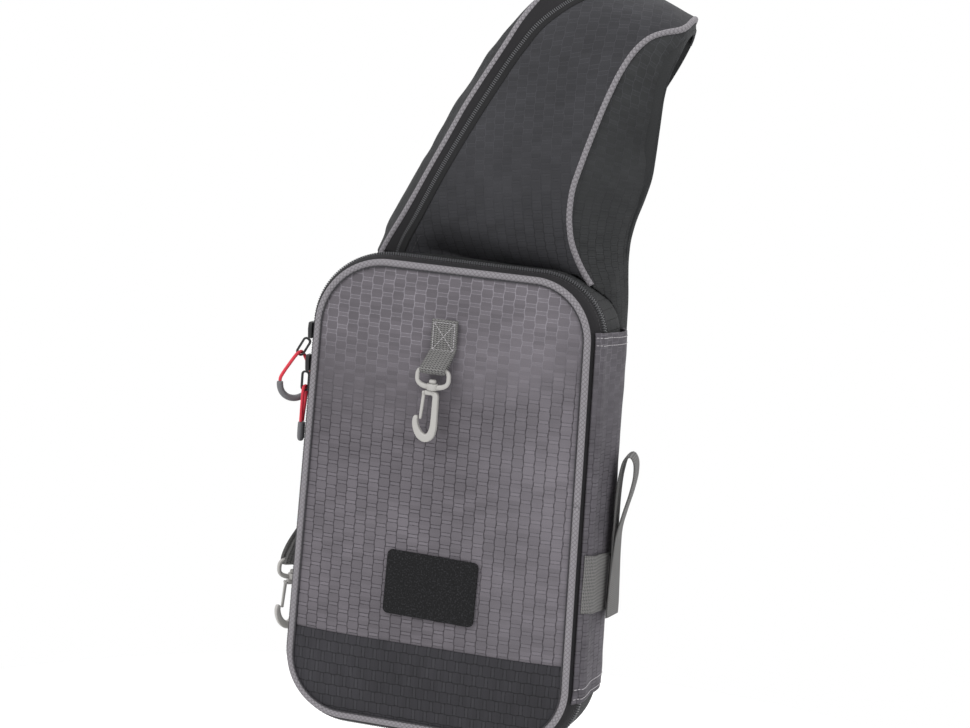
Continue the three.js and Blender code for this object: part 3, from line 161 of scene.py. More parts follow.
def honeycomb(name, cell, line, light, turned=False, glint=(2.0, 3.0), wide=8.2, tall=9.0,
              streak=None):
    """Ripstop with flat-topped six-sided cells, in columns `wide` apart and rows `tall` apart.
    A column edge lies at u + 0.042 t(v) cos(pi u) = whole, where t runs from -1 at a cell's end to
    1 at its middle; each cell ends in a pair of thin threads, and odd columns sit half a row down.
    The threads are painted as lit from above: pale, a painted highlight, where the height in metres
    plus noise passes `glint`, and dark, painted shade, below it.
    Past x = `streak`, in metres, the column edges are darker, the cells paler and their ends
    fainter. The weave inside a cell is finer in life, and drawn as noise about 0.6 mm wide."""
    look = Look(name, cell)
    add = look.node
    line, light = linear(line), linear(light)
    read = add("UVMap", uv_map="cloth")
    u, v = (add("SeparateXYZ", read, out=n) for n in ((1, 0) if turned else (0, 1)))
    u, v = add("DIVIDE", u, wide / 1000), add("DIVIDE", v, tall / 1000)
    wave = add("MULTIPLY_ADD", add("PINGPONG", v, 0.5), 4.0, -1.0)
    swing = add("COSINE", add("MULTIPLY", u, math.pi))
    edge = add("MULTIPLY_ADD", add("MULTIPLY", wave, swing), 0.042, u)
    side = add("PINGPONG", edge, 0.5)
    column = add("FLOOR", edge)
    row = add("MULTIPLY_ADD", add("FLOORED_MODULO", column, 2.0), 0.5, v)
    end = add("PINGPONG", row, 0.5)
    pair = add("ABSOLUTE", add("SUBTRACT", end, 0.14))

    point = add("TexCoord", out=3)
    x, z = add("SeparateXYZ", point), add("SeparateXYZ", point, out=2)
    patchy = add("TexNoise", {"Vector": point, "Scale": 13.0, "Detail": 3.0})
    weave = add("TexNoise", {"Vector": add("CombineXYZ", u, v), "Scale": 14.0, "Detail": 2.0})
    broken = add("TexNoise", {"Vector": add("CombineXYZ", u, v, 3.0), "Scale": 5.0, "Detail": 2.0})
    fine = add("MapRange", broken, 0.35, 0.6, 0.5, 1.0)
    columns = add("MULTIPLY", add("MapRange", side, 0.022, 0.067, 1.0, 0.0), fine)
    threads = add("MULTIPLY", add("MapRange", pair, 0.014, 0.044, 1.0, 0.0), fine)
    between = add("MapRange", end, 0.128, 0.148, 1.0, 0.0)
    # Painted shade: each cell is painted up to a tenth lighter or darker at random, as light falls on
    # crumpled cells. Patches and the fine weave vary the tone as well.
    cell_id = add("CombineXYZ", column, add("FLOOR", add("ADD", row, 0.5)))
    shuffled = add("TexWhiteNoise", cell_id, noise_dimensions="2D")
    per_cell = add("MapRange", shuffled, 0.0, 1.0, 0.9, 1.1)

    # Painted highlight and shade: the threads turn pale higher up and to the left, and stay dark
    # below.
    height = add("MULTIPLY_ADD", patchy, 0.09, add("MULTIPLY_ADD", x, -0.25, z))
    pale = add("MapRange", height, glint[0], glint[1], 0.0, 1.0)
    thread_colour = add("Mix", {0: pale, 6: line, 7: light}, **BLEND)
    base = add("Mix", {0: add("MULTIPLY", between, 0.12), 6: linear(cell), 7: light}, **BLEND)
    if streak is not None:
        across = add("MULTIPLY_ADD", patchy, 0.03, add("MULTIPLY_ADD", z, 0.05, x))
        streaked = add("MapRange", across, streak, streak + 0.05, 0.0, 1.0)
        streaked = add("MULTIPLY", streaked, add("MULTIPLY_ADD", pale, -0.75, 1.0))
        threads = add("MULTIPLY", threads, add("MULTIPLY_ADD", streaked, -0.4, 1.0))
        base = add("Mix", {0: add("MULTIPLY", streaked, 0.13), 6: base, 7: light}, **BLEND)
    base = add("Mix", {0: add("MULTIPLY", threads, 0.8), 6: base, 7: thread_colour}, **BLEND)
    base = add("Mix", {0: add("MULTIPLY", columns, 0.85), 6: base, 7: thread_colour}, **BLEND)
    shade = add("MULTIPLY", add("MapRange", patchy, 0.3, 0.7, 0.84, 1.16),
                add("MapRange", weave, 0.3, 0.7, 0.92, 1.08))
    tone_and_shade = add("MULTIPLY", shade, per_cell)
    base = add("VectorMath", base, add("CombineXYZ", tone_and_shade, tone_and_shade, tone_and_shade), operation="MULTIPLY")
    dip = add("MAXIMUM", columns, add("MULTIPLY", threads, 0.7))
    puff = add("MULTIPLY_ADD", weave, 0.3, add("MULTIPLY", dip, -1.0))
    return look.wear(base, puff, 0.0003, 0.9)


def plain_weave(name, colour, pitch=0.7):
    """Two fine waves across each other, sin(2 pi u / pitch) sin(2 pi v / pitch), in patches up to a
    tenth lighter or darker. Real threads are 0.3 mm apart; they are drawn coarser to show."""
    look = Look(name, colour, 0.9)
    add = look.node
    turns = 2 * math.pi * 1000 / pitch
    read = add("UVMap", uv_map="cloth")
    across, along = (add("SINE", add("MULTIPLY", add("SeparateXYZ", read, out=n), turns))
                     for n in (0, 1))
    patchy = add("TexNoise", {"Vector": add("TexCoord", out=3), "Scale": 22.0, "Detail": 3.0})
    shade = add("MapRange", patchy, 0.3, 0.7, 0.9, 1.1)
    base = add("VectorMath", linear(colour)[:3], add("CombineXYZ", shade, shade, shade),
               operation="MULTIPLY")
    return look.wear(base, add("MULTIPLY", across, along), 0.00012, 0.5)


def piping_cloth(name, colour, dark, pitch=3.4):
    """Bias tape: diagonal threads, dark where sin(2 pi (u + v) / pitch) or its mirror is near 1.
    The real twill is about 1 mm apart; it is drawn coarser to show."""
    look = Look(name, colour, 0.8)
    add = look.node
    turns = 2 * math.pi * 1000 / pitch
    read = add("UVMap", uv_map="cloth")
    u, v = (add("SeparateXYZ", read, out=n) for n in (0, 1))
    one, two = (add("SINE", add("MULTIPLY", add(way, u, v), turns)) for way in ("ADD", "SUBTRACT"))
    line = add("MapRange", add("MAXIMUM", one, two), 0.72, 1.0, 0.0, 1.0)
    colours = {0: add("MULTIPLY", line, 0.6), 6: linear(colour), 7: linear(dark)}
    return look.wear(add("Mix", colours, **BLEND), add("MULTIPLY", line, -1.0), 0.00025, 0.8)


def webbing_cloth(name, colour, dark, pitch=1.5):
    """Ribbed webbing: rows along v, each broken by a zigzag across u, with dark gaps between ribs"""
    look = Look(name, colour, 0.85)
    add = look.node
    turns = 2 * math.pi * 1000 / pitch
    read = add("UVMap", uv_map="cloth")
    u, v = (add("SeparateXYZ", read, out=n) for n in (0, 1))
    zigzag = add("PINGPONG", add("MULTIPLY", u, 1000.0), 1.3)
    rib = add("SINE", add("MULTIPLY_ADD", v, turns, add("MULTIPLY", zigzag, 2.2)))
    cross = add("SINE", add("MULTIPLY", u, turns * 0.62))
    fleck = add("TexNoise", {"Vector": add("CombineXYZ", u, v), "Scale": 700.0, "Detail": 2.0})
    height = add("MULTIPLY_ADD", fleck, 1.2, add("MULTIPLY_ADD", cross, 0.5, rib))
    share = add("MapRange", height, -0.7, 1.3, 0.85, 0.0)
    colours = {0: share, 6: linear(colour), 7: linear(dark)}
    return look.wear(add("Mix", colours, **BLEND), height, 0.00025, 0.9)


def moulded(name, colour, roughness):
    """A moulded part, with a grain of about 1 mm and 0.03 mm deep"""
    look = Look(name, colour, roughness, 0.45)
    point = look.node("TexCoord", out=3)
    grain = look.node("TexNoise", {"Vector": point, "Scale": 900.0, "Detail": 2.0})
    return look.wear(None, grain, 0.00003, 0.6)


def braided(name, colour, dark, pitch=1.3):
    """Round cord: short diagonal strands, sin(k (x + z)) sin(k (z - x)) with k = 2 pi / pitch"""
    look = Look(name, colour, 0.65)
    add = look.node
    turns = 1000 * 2 * math.pi / pitch
    point = add("VectorMath", {0: add("TexCoord", out=3), 3: turns}, operation="SCALE")
    x, z = add("SeparateXYZ", point), add("SeparateXYZ", point, out=2)
    strand = add("MULTIPLY", add("SINE", add("ADD", x, z)), add("SINE", add("SUBTRACT", z, x)))
    share = add("MapRange", strand, -0.8, 0.4, 0.6, 0.0)
    colours = {0: share, 6: linear(colour), 7: linear(dark)}
    return look.wear(add("Mix", colours, **BLEND), strand, 0.00015, 0.7)


def speckled(name, colour, light):
    """Rough rubber: pale flecks of about 1 mm where a noise passes 0.5"""
    look = Look(name, colour, 0.95, 0.2)
    point = look.node("TexCoord", out=3)
    flecks = look.node("TexNoise", {"Vector": point, "Scale": 850.0, "Detail": 4.0})
    share = look.node("MapRange", flecks, 0.5, 0.7, 0.0, 0.6)
    colours = {0: share, 6: linear(colour), 7: linear(light)}
    return look.wear(look.node("Mix", colours, **BLEND), flecks, 0.0006, 0.9)


# Ripstop nylon: matt cloth in raised cells. Its threads are painted pale near the top, a painted
# highlight, and dark lower down, painted shade.
grey_honeycomb = honeycomb("grey_ripstop_nylon", "5c585d", "252226", "87838a",
                           glint=(-0.245, -0.16), streak=-0.08)
side_honeycomb = honeycomb("grey_ripstop_nylon_side", "504d52", "2c2a2e", "716e74",
                           glint=(-0.28, -0.19))
black_honeycomb = honeycomb("black_ripstop_nylon", "303033", "161618", "3e3e42",
                            glint=(-0.13, -0.03), wide=6.8, tall=7.6)
foot_honeycomb = honeycomb("black_ripstop_nylon_turned", "2d2c30", "121214", "4a4a4e", True,
                           glint=(-0.3, -0.2))
wall_honeycomb = honeycomb("black_ripstop_nylon_wall", "2c2d2e", "161617", "3c3d40",
                           glint=(-0.13, -0.03), wide=6.6, tall=7.4)
# Plain woven nylon, zip tape and padded mesh: dull, almost even black.
black_weave = plain_weave("black_nylon", "212022")
tape_weave = plain_weave("black_zip_tape", "1e1e1f", pitch=1.1)
mesh_weave = plain_weave("black_padded_mesh", "28292a", pitch=2.2)
# Twill tape round a cord: a pale, soft line with a diamond grain.
piping = piping_cloth("grey_piping_tape", "838084", "4b474b")
# Woven polypropylene: coarse ribs with dark gaps and a slight gloss.
grey_webbing = webbing_cloth("grey_polypropylene_webbing", "7c7b7a", "2e2e2e")
black_webbing = webbing_cloth("black_polypropylene_webbing", "262628", "111112")
# Spun polyester thread: smooth enough to show each stitch.
grey_thread = Look("grey_sewing_thread", "a3a0a3", 0.7).material
dark_thread = Look("black_sewing_thread", "39383b", 0.7).material
# Moulded nylon, acetal and rubber: nylon teeth glint, acetal is satin, rubber is duller.
# The teeth's grey, lighter than black nylon, is a painted highlight on each tooth.
zip_teeth = moulded("black_nylon_zip_teeth", "4c4c4f", 0.3)
black_plastic = moulded("black_acetal", "1b1b1d", 0.42)
grey_plastic = moulded("light_grey_acetal", "a5a3a0", 0.38)
grip_rubber = moulded("grey_grip_rubber", "636366", 0.55)
# Braided polyester: bright red with short slanting strands.
red_cord = braided("red_polyester_cord", "e0404f", "9c1c2c")
# Pressed rubber: black with a pebbled face.
badge_rubber = speckled("black_rubber_patch", "171718", "3b3b3e")


def stands_for(node):
    """Hides the CAD node that a piece stands for, so that the piece takes its place"""
    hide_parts(node)


# %% [markdown]
# ## Grid surfaces
# `grid_piece` makes one mesh from a grid of points. A wall gets its thickness from Solidify, which
# grows it to the inner side. `smooth_noise` is a sum of a few seeded plane waves, for soft folds.

# %%
BLOCK = np.array([[x, y, z] for x in (-0.5, 0.5) for y in (-0.5, 0.5) for z in (0, 1)], float)
BLOCK_FACES = np.array([(0, 1, 3, 2), (4, 6, 7, 5), (0, 4, 5, 1),
                        (2, 3, 7, 6), (0, 2, 6, 4), (1, 5, 7, 3)])


def unit(vectors):
    return vectors / np.linalg.norm(vectors, axis=-1, keepdims=True)


def signed_power(values, power):
    """|v| ** power with the sign of v, which squares off a circle"""
    return np.sign(values) * np.abs(values) ** power


def circle(count, stop=2 * math.pi):
    """Angles round a closed ring"""
    return np.linspace(0, stop, count, endpoint=False)


def link(name, mesh, material, body="bag", smooth=True):
    made = bpy.data.objects.new(name, mesh)
    scene.collection.objects.link(made)
    mesh.materials.clear()
    mesh.materials.append(material)
    mesh.polygons.foreach_set("use_smooth", np.full(len(mesh.polygons), smooth))
    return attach(made, body)


def grid_piece(name, points, material, node=None, uv=None, closed=False, caps=False, wall=None,
               flip=False, body="bag"):
    """A surface through points[i, j], in mm. closed joins the last column to the first, caps fill
    the first and last rows, wall is a thickness in mm grown against the normal, and uv holds two
    lengths in mm at each point."""
    rows, columns = points.shape[:2]
    span = columns if closed else columns - 1
    i, j = np.meshgrid(np.arange(rows - 1), np.arange(span), indexing="ij")
    k = (j + 1) % columns
    quads = np.stack([i * columns + j, i * columns + k, (i + 1) * columns + k,
                      (i + 1) * columns + j], -1).reshape(-1, 4)
    if flip:
        quads = quads[:, ::-1]
    faces = quads.tolist()
    if caps:
        first = list(range(columns))
        last = [(rows - 1) * columns + n for n in first]
        faces += [first if flip else first[::-1], last[::-1] if flip else last]
    mesh = bpy.data.meshes.new(name)
    mesh.from_pydata(place(points.reshape(-1, 3)).tolist(), [], faces)
    if uv is not None:
        layer = mesh.uv_layers.new(name="cloth")
        cloth = np.zeros((len(mesh.loops), 2), np.float32)
        for axis, value in enumerate(uv):
            flat = np.broadcast_to(value, (rows, columns))
            if closed:
                step = (flat[:, -1:] - flat[:, -2:-1]) * (axis == 0)
                flat = np.concatenate([flat, flat[:, -1:] + step], 1)
            corners = np.stack([flat[i, j], flat[i, j + 1], flat[i + 1, j + 1], flat[i + 1, j]], -1)
            corners = corners.reshape(-1, 4)[:, ::-1] if flip else corners
            cloth[:corners.size, axis] = corners.ravel() / 1000
        layer.data.foreach_set("uv", cloth.ravel())
    mesh.validate()
    mesh.update()
    made = link(name, mesh, material, body)
    if wall:
        thick = made.modifiers.new("wall", "SOLIDIFY")
        thick.thickness, thick.offset, thick.use_quality_normals = wall / 1000, -1, True
    if node:
        stands_for(node)
    return made


def smooth_noise(a, b, scale, seed, waves=9):
    """sum of sin(k . (a, b) / scale + phase) over `waves` directions, about -1 to 1"""
    source = np.random.default_rng(seed)
    total = np.zeros(np.broadcast(a, b).shape)
    for _ in range(waves):
        angle = source.uniform(0, 2 * math.pi)
        stretch = source.uniform(0.6, 1.8)
        total = total + np.sin((a * math.cos(angle) + b * math.sin(angle)) * stretch / scale
                               + source.uniform(0, 6.28))
    return total / math.sqrt(waves)


def run_length(points):
    """Distance along a row of points, starting at 0"""
    return np.concatenate([[0], np.cumsum(np.linalg.norm(np.diff(points, axis=0), axis=1))])


def spline(rows, count):
    """Centripetal Catmull-Rom curve through rows, at even steps of arc length"""
    rows = np.asarray(rows, float)
    held = np.vstack([2 * rows[0] - rows[1], rows, 2 * rows[-1] - rows[-2]])
    out = []
    for n in range(1, len(held) - 2):
        p = held[n - 1:n + 3]
        gaps = np.maximum(np.linalg.norm(np.diff(p, axis=0), axis=1), 1e-6)
        t = np.concatenate([[0], np.cumsum(gaps ** 0.5)])
        s = np.linspace(t[1], t[2], 24, endpoint=False)[:, None]

        def between(low, high, start, stop):
            """start at s = t[low], stop at s = t[high]"""
            gap = t[high] - t[low]
            return (t[high] - s) / gap * start + (s - t[low]) / gap * stop

        a1, a2, a3 = (between(m, m + 1, p[m], p[m + 1]) for m in range(3))
        out.append(between(1, 2, between(0, 2, a1, a2), between(1, 3, a2, a3)))
    fine = np.vstack(out + [rows[-1:]])
    run = run_length(fine)
    even = np.linspace(0, run[-1], count)
    return np.stack([np.interp(even, run, fine[:, c]) for c in range(rows.shape[1])], 1)


def soften(values, reach):
    """Moving average over `reach` samples each way, with the ends held"""
    padded = np.pad(values, reach, mode="edge")
    return np.convolve(padded, np.ones(2 * reach + 1) / (2 * reach + 1), mode="valid")


def beads(name, centres, tangents, normals, size, material):
    """One small block at each centre, narrower at its top: a corner lies at centre + l tangent
    + w side + h normal, and size is length, width and height"""
    side = np.cross(normals, tangents)
    shape = BLOCK.copy()
    shape[shape[:, 2] > 0.5, :2] *= 0.75
    local = shape * np.array(size)
    points = (centres[:, None] + local[None, :, 0:1] * tangents[:, None]
              + local[None, :, 1:2] * side[:, None] + local[None, :, 2:3] * normals[:, None])
    faces = np.arange(len(centres))[:, None, None] * 8 + BLOCK_FACES
    mesh = bpy.data.meshes.new(name)
    mesh.from_pydata(place(points.reshape(-1, 3)).tolist(), [], faces.reshape(-1, 4).tolist())
    mesh.update()
    link(name, mesh, material, smooth=False)


def sample(points, normals, at):
    """Points, directions and normals of a path at the distances `at`"""
    run = run_length(points)
    given = (points, np.gradient(points, axis=0), np.broadcast_to(normals, points.shape))
    where, along, face = (np.stack([np.interp(at, run, v[:, c]) for c in range(3)], 1) for v in given)
    return where, unit(along), unit(face)


def stitch_line(name, points, normals, material, pitch=3.1, length=2.3, width=0.55, height=0.4,
                sink=0.12):
    """Stitches of `length` every `pitch` along a path on the cloth"""
    at = np.arange(pitch / 2, run_length(points)[-1], pitch)
    centres, tangents, faces = sample(points, normals, at)
    beads(name, centres - faces * sink, tangents, faces, (length, width, height), material)


def zip_chain(name, points, normals, pitch=1.8, width=2.4, gap=1.35):
    """Two rows of teeth, half a pitch apart, that almost meet at the middle line"""
    rows = []
    for shift, way in ((0.25, 1), (0.75, -1)):
        at = np.arange(pitch * shift, run_length(points)[-1], pitch)
        centres, tangents, faces = sample(points, normals, at)
        rows.append((centres + way * gap * np.cross(faces, tangents), tangents, faces))
    beads(name, *(np.vstack(part) for part in zip(*rows)), (0.9, width, 1.6), zip_teeth)


# %% [markdown]
# ## The case's outline
# Four corner arcs joined by straight sides, as points and outward directions. `rim` swells the
# outline by a distance that is less at the top than at the sides.

# %%
CASE_TOP, CASE_FOOT, CASE_HEIGHT, CASE_DEPTH = 199.8, 211.8, 334.0, 80.0
SIDE_SWELL, TOP_SWELL, PIPE = 8.0, 4.6, 2.6
FRONT_Y, BACK_Y = -CASE_DEPTH / 2, CASE_DEPTH / 2
ZIP_Y = FRONT_Y + 12.3 + 4
TAPER = math.atan((CASE_FOOT - CASE_TOP) / 2 / CASE_HEIGHT)


def side_line(z):
    """Half the case's width at height z, before its sides swell"""
    return CASE_FOOT / 2 + (CASE_TOP - CASE_FOOT) / 2 * z / CASE_HEIGHT


# Each corner as radius and centre (x, z), from the foot's right one round past the top.
CORNERS = [(radius, side * (side_line(z) - radius / math.cos(TAPER)), z) for radius, z, side in (
    (43, 43, 1), (41, CASE_HEIGHT - 41, 1), (50, CASE_HEIGHT - 50, -1), (42, 42, -1))]


def outline(turn_steps=26, straight_steps=44):
    """Points and outward directions, counterclockwise seen from the front"""
    quarter = math.pi / 2
    turns = [(-quarter, TAPER), (TAPER, quarter), (quarter, 2 * quarter - TAPER),
             (2 * quarter - TAPER, 3 * quarter)]
    arcs = []
    for (radius, x, z), (start, stop) in zip(CORNERS, turns):
        angle = np.linspace(start, stop, turn_steps)
        out = np.stack([np.cos(angle), np.sin(angle)], 1)
        arcs.append((np.array([x, z]) + radius * out, out))
    points, outs = [], []
    share = np.linspace(0, 1, straight_steps)[1:-1, None]
    for n, (arc, out) in enumerate(arcs):
        following = arcs[(n + 1) % 4][0][0]
        points += [arc, arc[-1] + share * (following - arc[-1])]
        outs += [out, np.repeat(out[-1:], len(share), 0)]
    return np.vstack(points), np.vstack(outs)


RIM, RIM_OUT = outline()
RIM_OUT3 = np.stack([RIM_OUT[:, 0], np.zeros(len(RIM)), RIM_OUT[:, 1]], 1)
RUN = run_length(RIM)


def rim(grow, y):
    """3-D points of the outline grown by `grow`, at depth y"""
    calm = 1 + (TOP_SWELL / SIDE_SWELL - 1) * np.maximum(RIM_OUT[:, 1], 0) ** 2 * (grow > 0)
    flat = RIM + RIM_OUT * (grow * calm)[:, None]
    return np.stack([flat[:, 0], np.full(len(RIM), y), flat[:, 1]], 1)


def side_reach(z, side, grow):
    """x of the grown outline on one side at height z: on a corner's arc, x = centre + side
    sqrt(radius^2 - rise^2), and on the straight between them, the side line plus grow"""
    z = np.asarray(z, float)
    foot, top = (CORNERS[0], CORNERS[1]) if side > 0 else (CORNERS[3], CORNERS[2])
    grow = np.broadcast_to(grow, z.shape)
    straight = side * (side_line(z) + grow / math.cos(TAPER))

    def arc(turn):
        radius = turn[0] + grow
        rise = np.minimum(np.abs(z - turn[2]), radius)
        return turn[1] + side * np.sqrt(np.maximum(radius ** 2 - rise ** 2, 0))

    x = np.where(z > top[2] + (top[0] + grow) * math.sin(TAPER), arc(top), straight)
    return np.where(z < foot[2] + (foot[0] + grow) * math.sin(TAPER), arc(foot), x)


# How far the edge stands out from the outline at each depth: rows of y and grow.
PROFILE = np.array([
    [FRONT_Y + PIPE + 0.35, 0.2 * SIDE_SWELL], [FRONT_Y + 6.5, 0.66 * SIDE_SWELL],
    [FRONT_Y + 11.95, 0.95 * SIDE_SWELL], [FRONT_Y + 20.65, SIDE_SWELL], [12, SIDE_SWELL],
    [24, 0.55 * SIDE_SWELL], [33, -0.16 * SIDE_SWELL], [38, -4.5], [BACK_Y, -9]])


def edge_grow(y):
    return np.interp(y, PROFILE[:, 0], PROFILE[:, 1])


# %% [markdown]
# ## Case: edge bands, zip, piping
# Each band is a sheet whose rows run round the outline. The rear band is rounded off towards the
# back, and sags a little between its seams. The main zip's teeth are small blocks in two rows.

# %%


def case_band(name, node, ys, grows, material, fold=0.0):
    """Rows of `rim` at depths ys, moved outwards by fold times a noise that fades at both seams"""
    points = np.stack([rim(grow, y) for y, grow in zip(ys, grows)])
    inside = np.clip((ys - ys[0]) / 6, 0, 1) * np.clip((ys[-1] - ys) / 6, 0, 1)
    wave = smooth_noise(RUN[None, :], ys[:, None] * 1.4, 16, 3) * fold * inside[:, None]
    points = points + wave[..., None] * RIM_OUT3[None]
    height = run_length(np.stack([ys, grows], 1))[:, None]
    grid_piece(name, points, material, node, uv=(RUN[None, :], height), closed=True, wall=1.6,
               flip=True)


front_ys = np.linspace(FRONT_Y + PIPE - 1.6, ZIP_Y - 4.1, 9)
case_band("gusset_front_cloth", "gusset_front", front_ys, edge_grow(front_ys) + 0.3, black_weave)
rear_fine = np.linspace(ZIP_Y + 4.1, BACK_Y, 120)
rear_grows = soften(edge_grow(rear_fine), 7)
thin = np.linspace(0, 119, 30).round().astype(int)
case_band("gusset_rear_cloth", "gusset_rear", rear_fine[thin], rear_grows[thin], wall_honeycomb,
          fold=0.35)
tape_ys = np.linspace(ZIP_Y - 4.3, ZIP_Y + 4.3, 7)
tape_grows = 7.4 + 0.3 * np.cos((tape_ys - ZIP_Y) / 4.3 * 1.5)
case_band("zip_tape", "main_zip", tape_ys, tape_grows, tape_weave)


def closed_path(grow, y):
    path = rim(grow, y)
    return np.vstack([path, path[:1]])


closed_out = np.vstack([RIM_OUT3, RIM_OUT3[:1]])
zip_chain("main_zip_teeth", closed_path(7.5, ZIP_Y), closed_out)
stitch_line("zip_stitch_rear", closed_path(8.1, ZIP_Y + 7.5), closed_out, dark_thread)
stitch_line("zip_stitch_front", closed_path(6.9, ZIP_Y - 6.3), closed_out, dark_thread)


def round_tube(name, points, radius, node, normal=(0, 1, 0), sides=14):
    """A tube of rings square to the path, p + r (cos a across + sin a side); its map runs round (u)
    and along (v)"""
    tangent = unit(np.gradient(points, axis=0))
    side = unit(np.cross(tangent, np.broadcast_to(np.asarray(normal, float), points.shape)))
    across = np.cross(side, tangent)
    angle = circle(sides)
    ring = points[:, None] + radius * (np.cos(angle)[None, :, None] * across[:, None]
                                       + np.sin(angle)[None, :, None] * side[:, None])
    uv = (angle[None] * radius, run_length(points)[:, None])
    grid_piece(name, ring, piping, node, uv=uv, closed=True, caps=True)


PIPE_START = 48   # the cord's two ends meet half way up the right side
pipe_path = closed_path(0.0, FRONT_Y)
pipe_path = np.vstack([pipe_path[PIPE_START:-1], pipe_path[:PIPE_START + 1]])
pipe_path[:, 0] += 0.15 * smooth_noise(run_length(pipe_path), 0.0, 24, 11)
round_tube("front_piping_cord", pipe_path, PIPE, "front_piping")
# Dark thread along the piping's inner edge. Its stitches are long enough to join into one line, which
# stands for the stitches and, as painted shadow, for the dark gap beside the piping.
stitch_line("front_piping_stitch_shadow", closed_path(-2.75, FRONT_Y - 1.5), [0.0, -1.0, 0.0], dark_thread,
            pitch=3.0, length=3.2, width=0.9, height=0.6, sink=0.0)

# %% [markdown]
# ## Front and back panels
# The front is a shallow pillow: lift = 5 (1 - |a|^4)(1 - |b|^6), where a and b run from -1 to 1
# across and up the panel, with a few soft dents. The back is a foam board with a rounded edge.

# %%
SEAM, BULGE = 61.0, 5


def front_rows(zs, columns, inset=1.2):
    """Rows at heights zs, from side to side of the outline less `inset`, lifted as said above"""
    left, right = (side_reach(zs, side, -inset) for side in (-1, 1))
    share = np.linspace(0, 1, columns)
    x = left[:, None] + (right - left)[:, None] * share[None]
    a = 2 * share[None] - 1
    b = ((zs - CASE_HEIGHT / 2) / (CASE_HEIGHT / 2))[:, None]
    lift = (1 - np.abs(a) ** 4) * (1 - np.abs(b) ** 6)
    z = np.broadcast_to(zs[:, None], x.shape)
    soft = 0.3 * smooth_noise(x, z, 27, 5) + 0.12 * smooth_noise(x, z * 0.5, 9, 6)
    y = FRONT_Y - 0.5 - BULGE * lift + soft * np.minimum(lift * 2.5, 1)
    return np.stack([x, y, z], -1)


# Rows crowd together where the corners are round, and both cloths dip into the seam between them.
rise = 1 - np.cos(np.linspace(0, math.pi / 2, 26))
low_z = np.concatenate([1.25 + 24 * rise[:-1], np.linspace(25.3, SEAM + 3, 28)])
high_z = np.concatenate([np.linspace(SEAM + 0.5, 306, 150),
                         (CASE_HEIGHT - 1.25 - 27 * rise[:-1])[::-1]])
for part, zs, look, dip in (("lower", low_z, foot_honeycomb, 1.2),
                            ("upper", high_z, grey_honeycomb, 0.7)):
    points = front_rows(zs, 120)
    points[..., 1] += dip * np.exp(-np.abs(zs - SEAM) / 2.2)[:, None]
    grid_piece(f"front_panel_{part}_cloth", points, look, f"front_panel_{part}",
               uv=(points[..., 0] + 200, points[..., 2] + 3), wall=1.6)


def back_board():
    """A closed board from y = 36 to 40: its edge is the outline inset by 9.4, rounded by a half
    turn, and its faces are the edge drawn in towards the middle"""
    turn = np.linspace(-math.pi / 2, math.pi / 2, 13)
    edge = np.stack([rim(-9.4 - 2.4 * (1 - math.cos(a)), 38.0 + 2.0 * math.sin(a)) for a in turn])
    share = np.array([0.95, 0.85, 0.7, 0.5, 0.3, 0.1])[:, None, None]
    back = edge[-1] * share + np.array([0.0, 0.0, CASE_HEIGHT / 2]) * (1 - share)
    back[..., 1] = 40.0
    fore = back[::-1].copy()
    fore[..., 1] = 36.0
    points = np.concatenate([fore, edge, back])
    made = grid_piece("back_panel_foam", points, mesh_weave, "back_panel",
                      uv=(points[..., 0] + 200, points[..., 2]), closed=True, caps=True, flip=True)


back_board()
stitch_line("back_panel_stitch", closed_path(-14.0, 40.0), [0.0, 1.0, 0.0], dark_thread)

# %% [markdown]
# ## Badge patch
# A bare patch with rounded corners and edges, turned by a hair more than one degree.

# %%
PANEL_Y = FRONT_Y - 0.6 - 5
PATCH_WIDTH, PATCH_HEIGHT, PATCH_THICK, PATCH_CORNER, PATCH_ROLL = 69, 47, 1.6, 4, 0.6
PATCH_CENTRE, PATCH_TURN = (1, PANEL_Y - 0.35, 105.5), 0.02


def patch():
    """Rings of a rounded rectangle, corner + out (cos a, sin a): small to full on the face, then
    out over a quarter circle of PATCH_ROLL, then straight back"""
    ca, sa = np.cos(circle(96)), np.sin(circle(96))
    corner_x = np.sign(ca) * (PATCH_WIDTH / 2 - PATCH_CORNER)
    corner_z = np.sign(sa) * (PATCH_HEIGHT / 2 - PATCH_CORNER)
    flat = PATCH_CORNER - PATCH_ROLL
    rings = [(share, flat, -PATCH_THICK) for share in (0.1, 0.4, 0.7, 0.9)]
    rings += [(1, flat + PATCH_ROLL * math.sin(a), -PATCH_THICK + PATCH_ROLL * (1 - math.cos(a)))
              for a in np.linspace(0, math.pi / 2, 6)]
    rings.append((1, PATCH_CORNER, 0.0))
    x, y, z = (np.stack(rows) for rows in zip(*[
        ((corner_x + out * ca) * share, np.full(96, y), (corner_z + out * sa) * share)
        for share, out, y in rings]))
    y = y - 0.12 * smooth_noise(x, z, 7, 21) * (y < -PATCH_THICK + 0.2)
    c, s = math.cos(PATCH_TURN), math.sin(PATCH_TURN)
    points = np.stack([x * c + z * s, y, -x * s + z * c], -1) + np.asarray(PATCH_CENTRE)
    grid_piece("badge_patch_rubber", points, badge_rubber, "badge_patch", closed=True, caps=True)


patch()

# %% [markdown]
# ## Rod sleeve, side band and rod strap
# The sleeve stands off the right side by a smooth swell that grows towards its open upper hem.

# %%
SLEEVE_FRONT, SLEEVE_BACK, SLEEVE_TOP = FRONT_Y + PIPE + 1, BACK_Y - 5, 302
SWELL_FOOT, SWELL_TOP = 11.5, 15.9
SWELL = np.array([[0, 0.16], [0.15, 0.62], [0.34, 0.9], [0.54, 1], [0.7, 0.9], [0.84, 0.66],
                  [0.94, 0.3], [1, -0.06]])
BAND_FOOT, BAND_TOP, BAND_SLOPE = 101.0, 143.0, 6.5


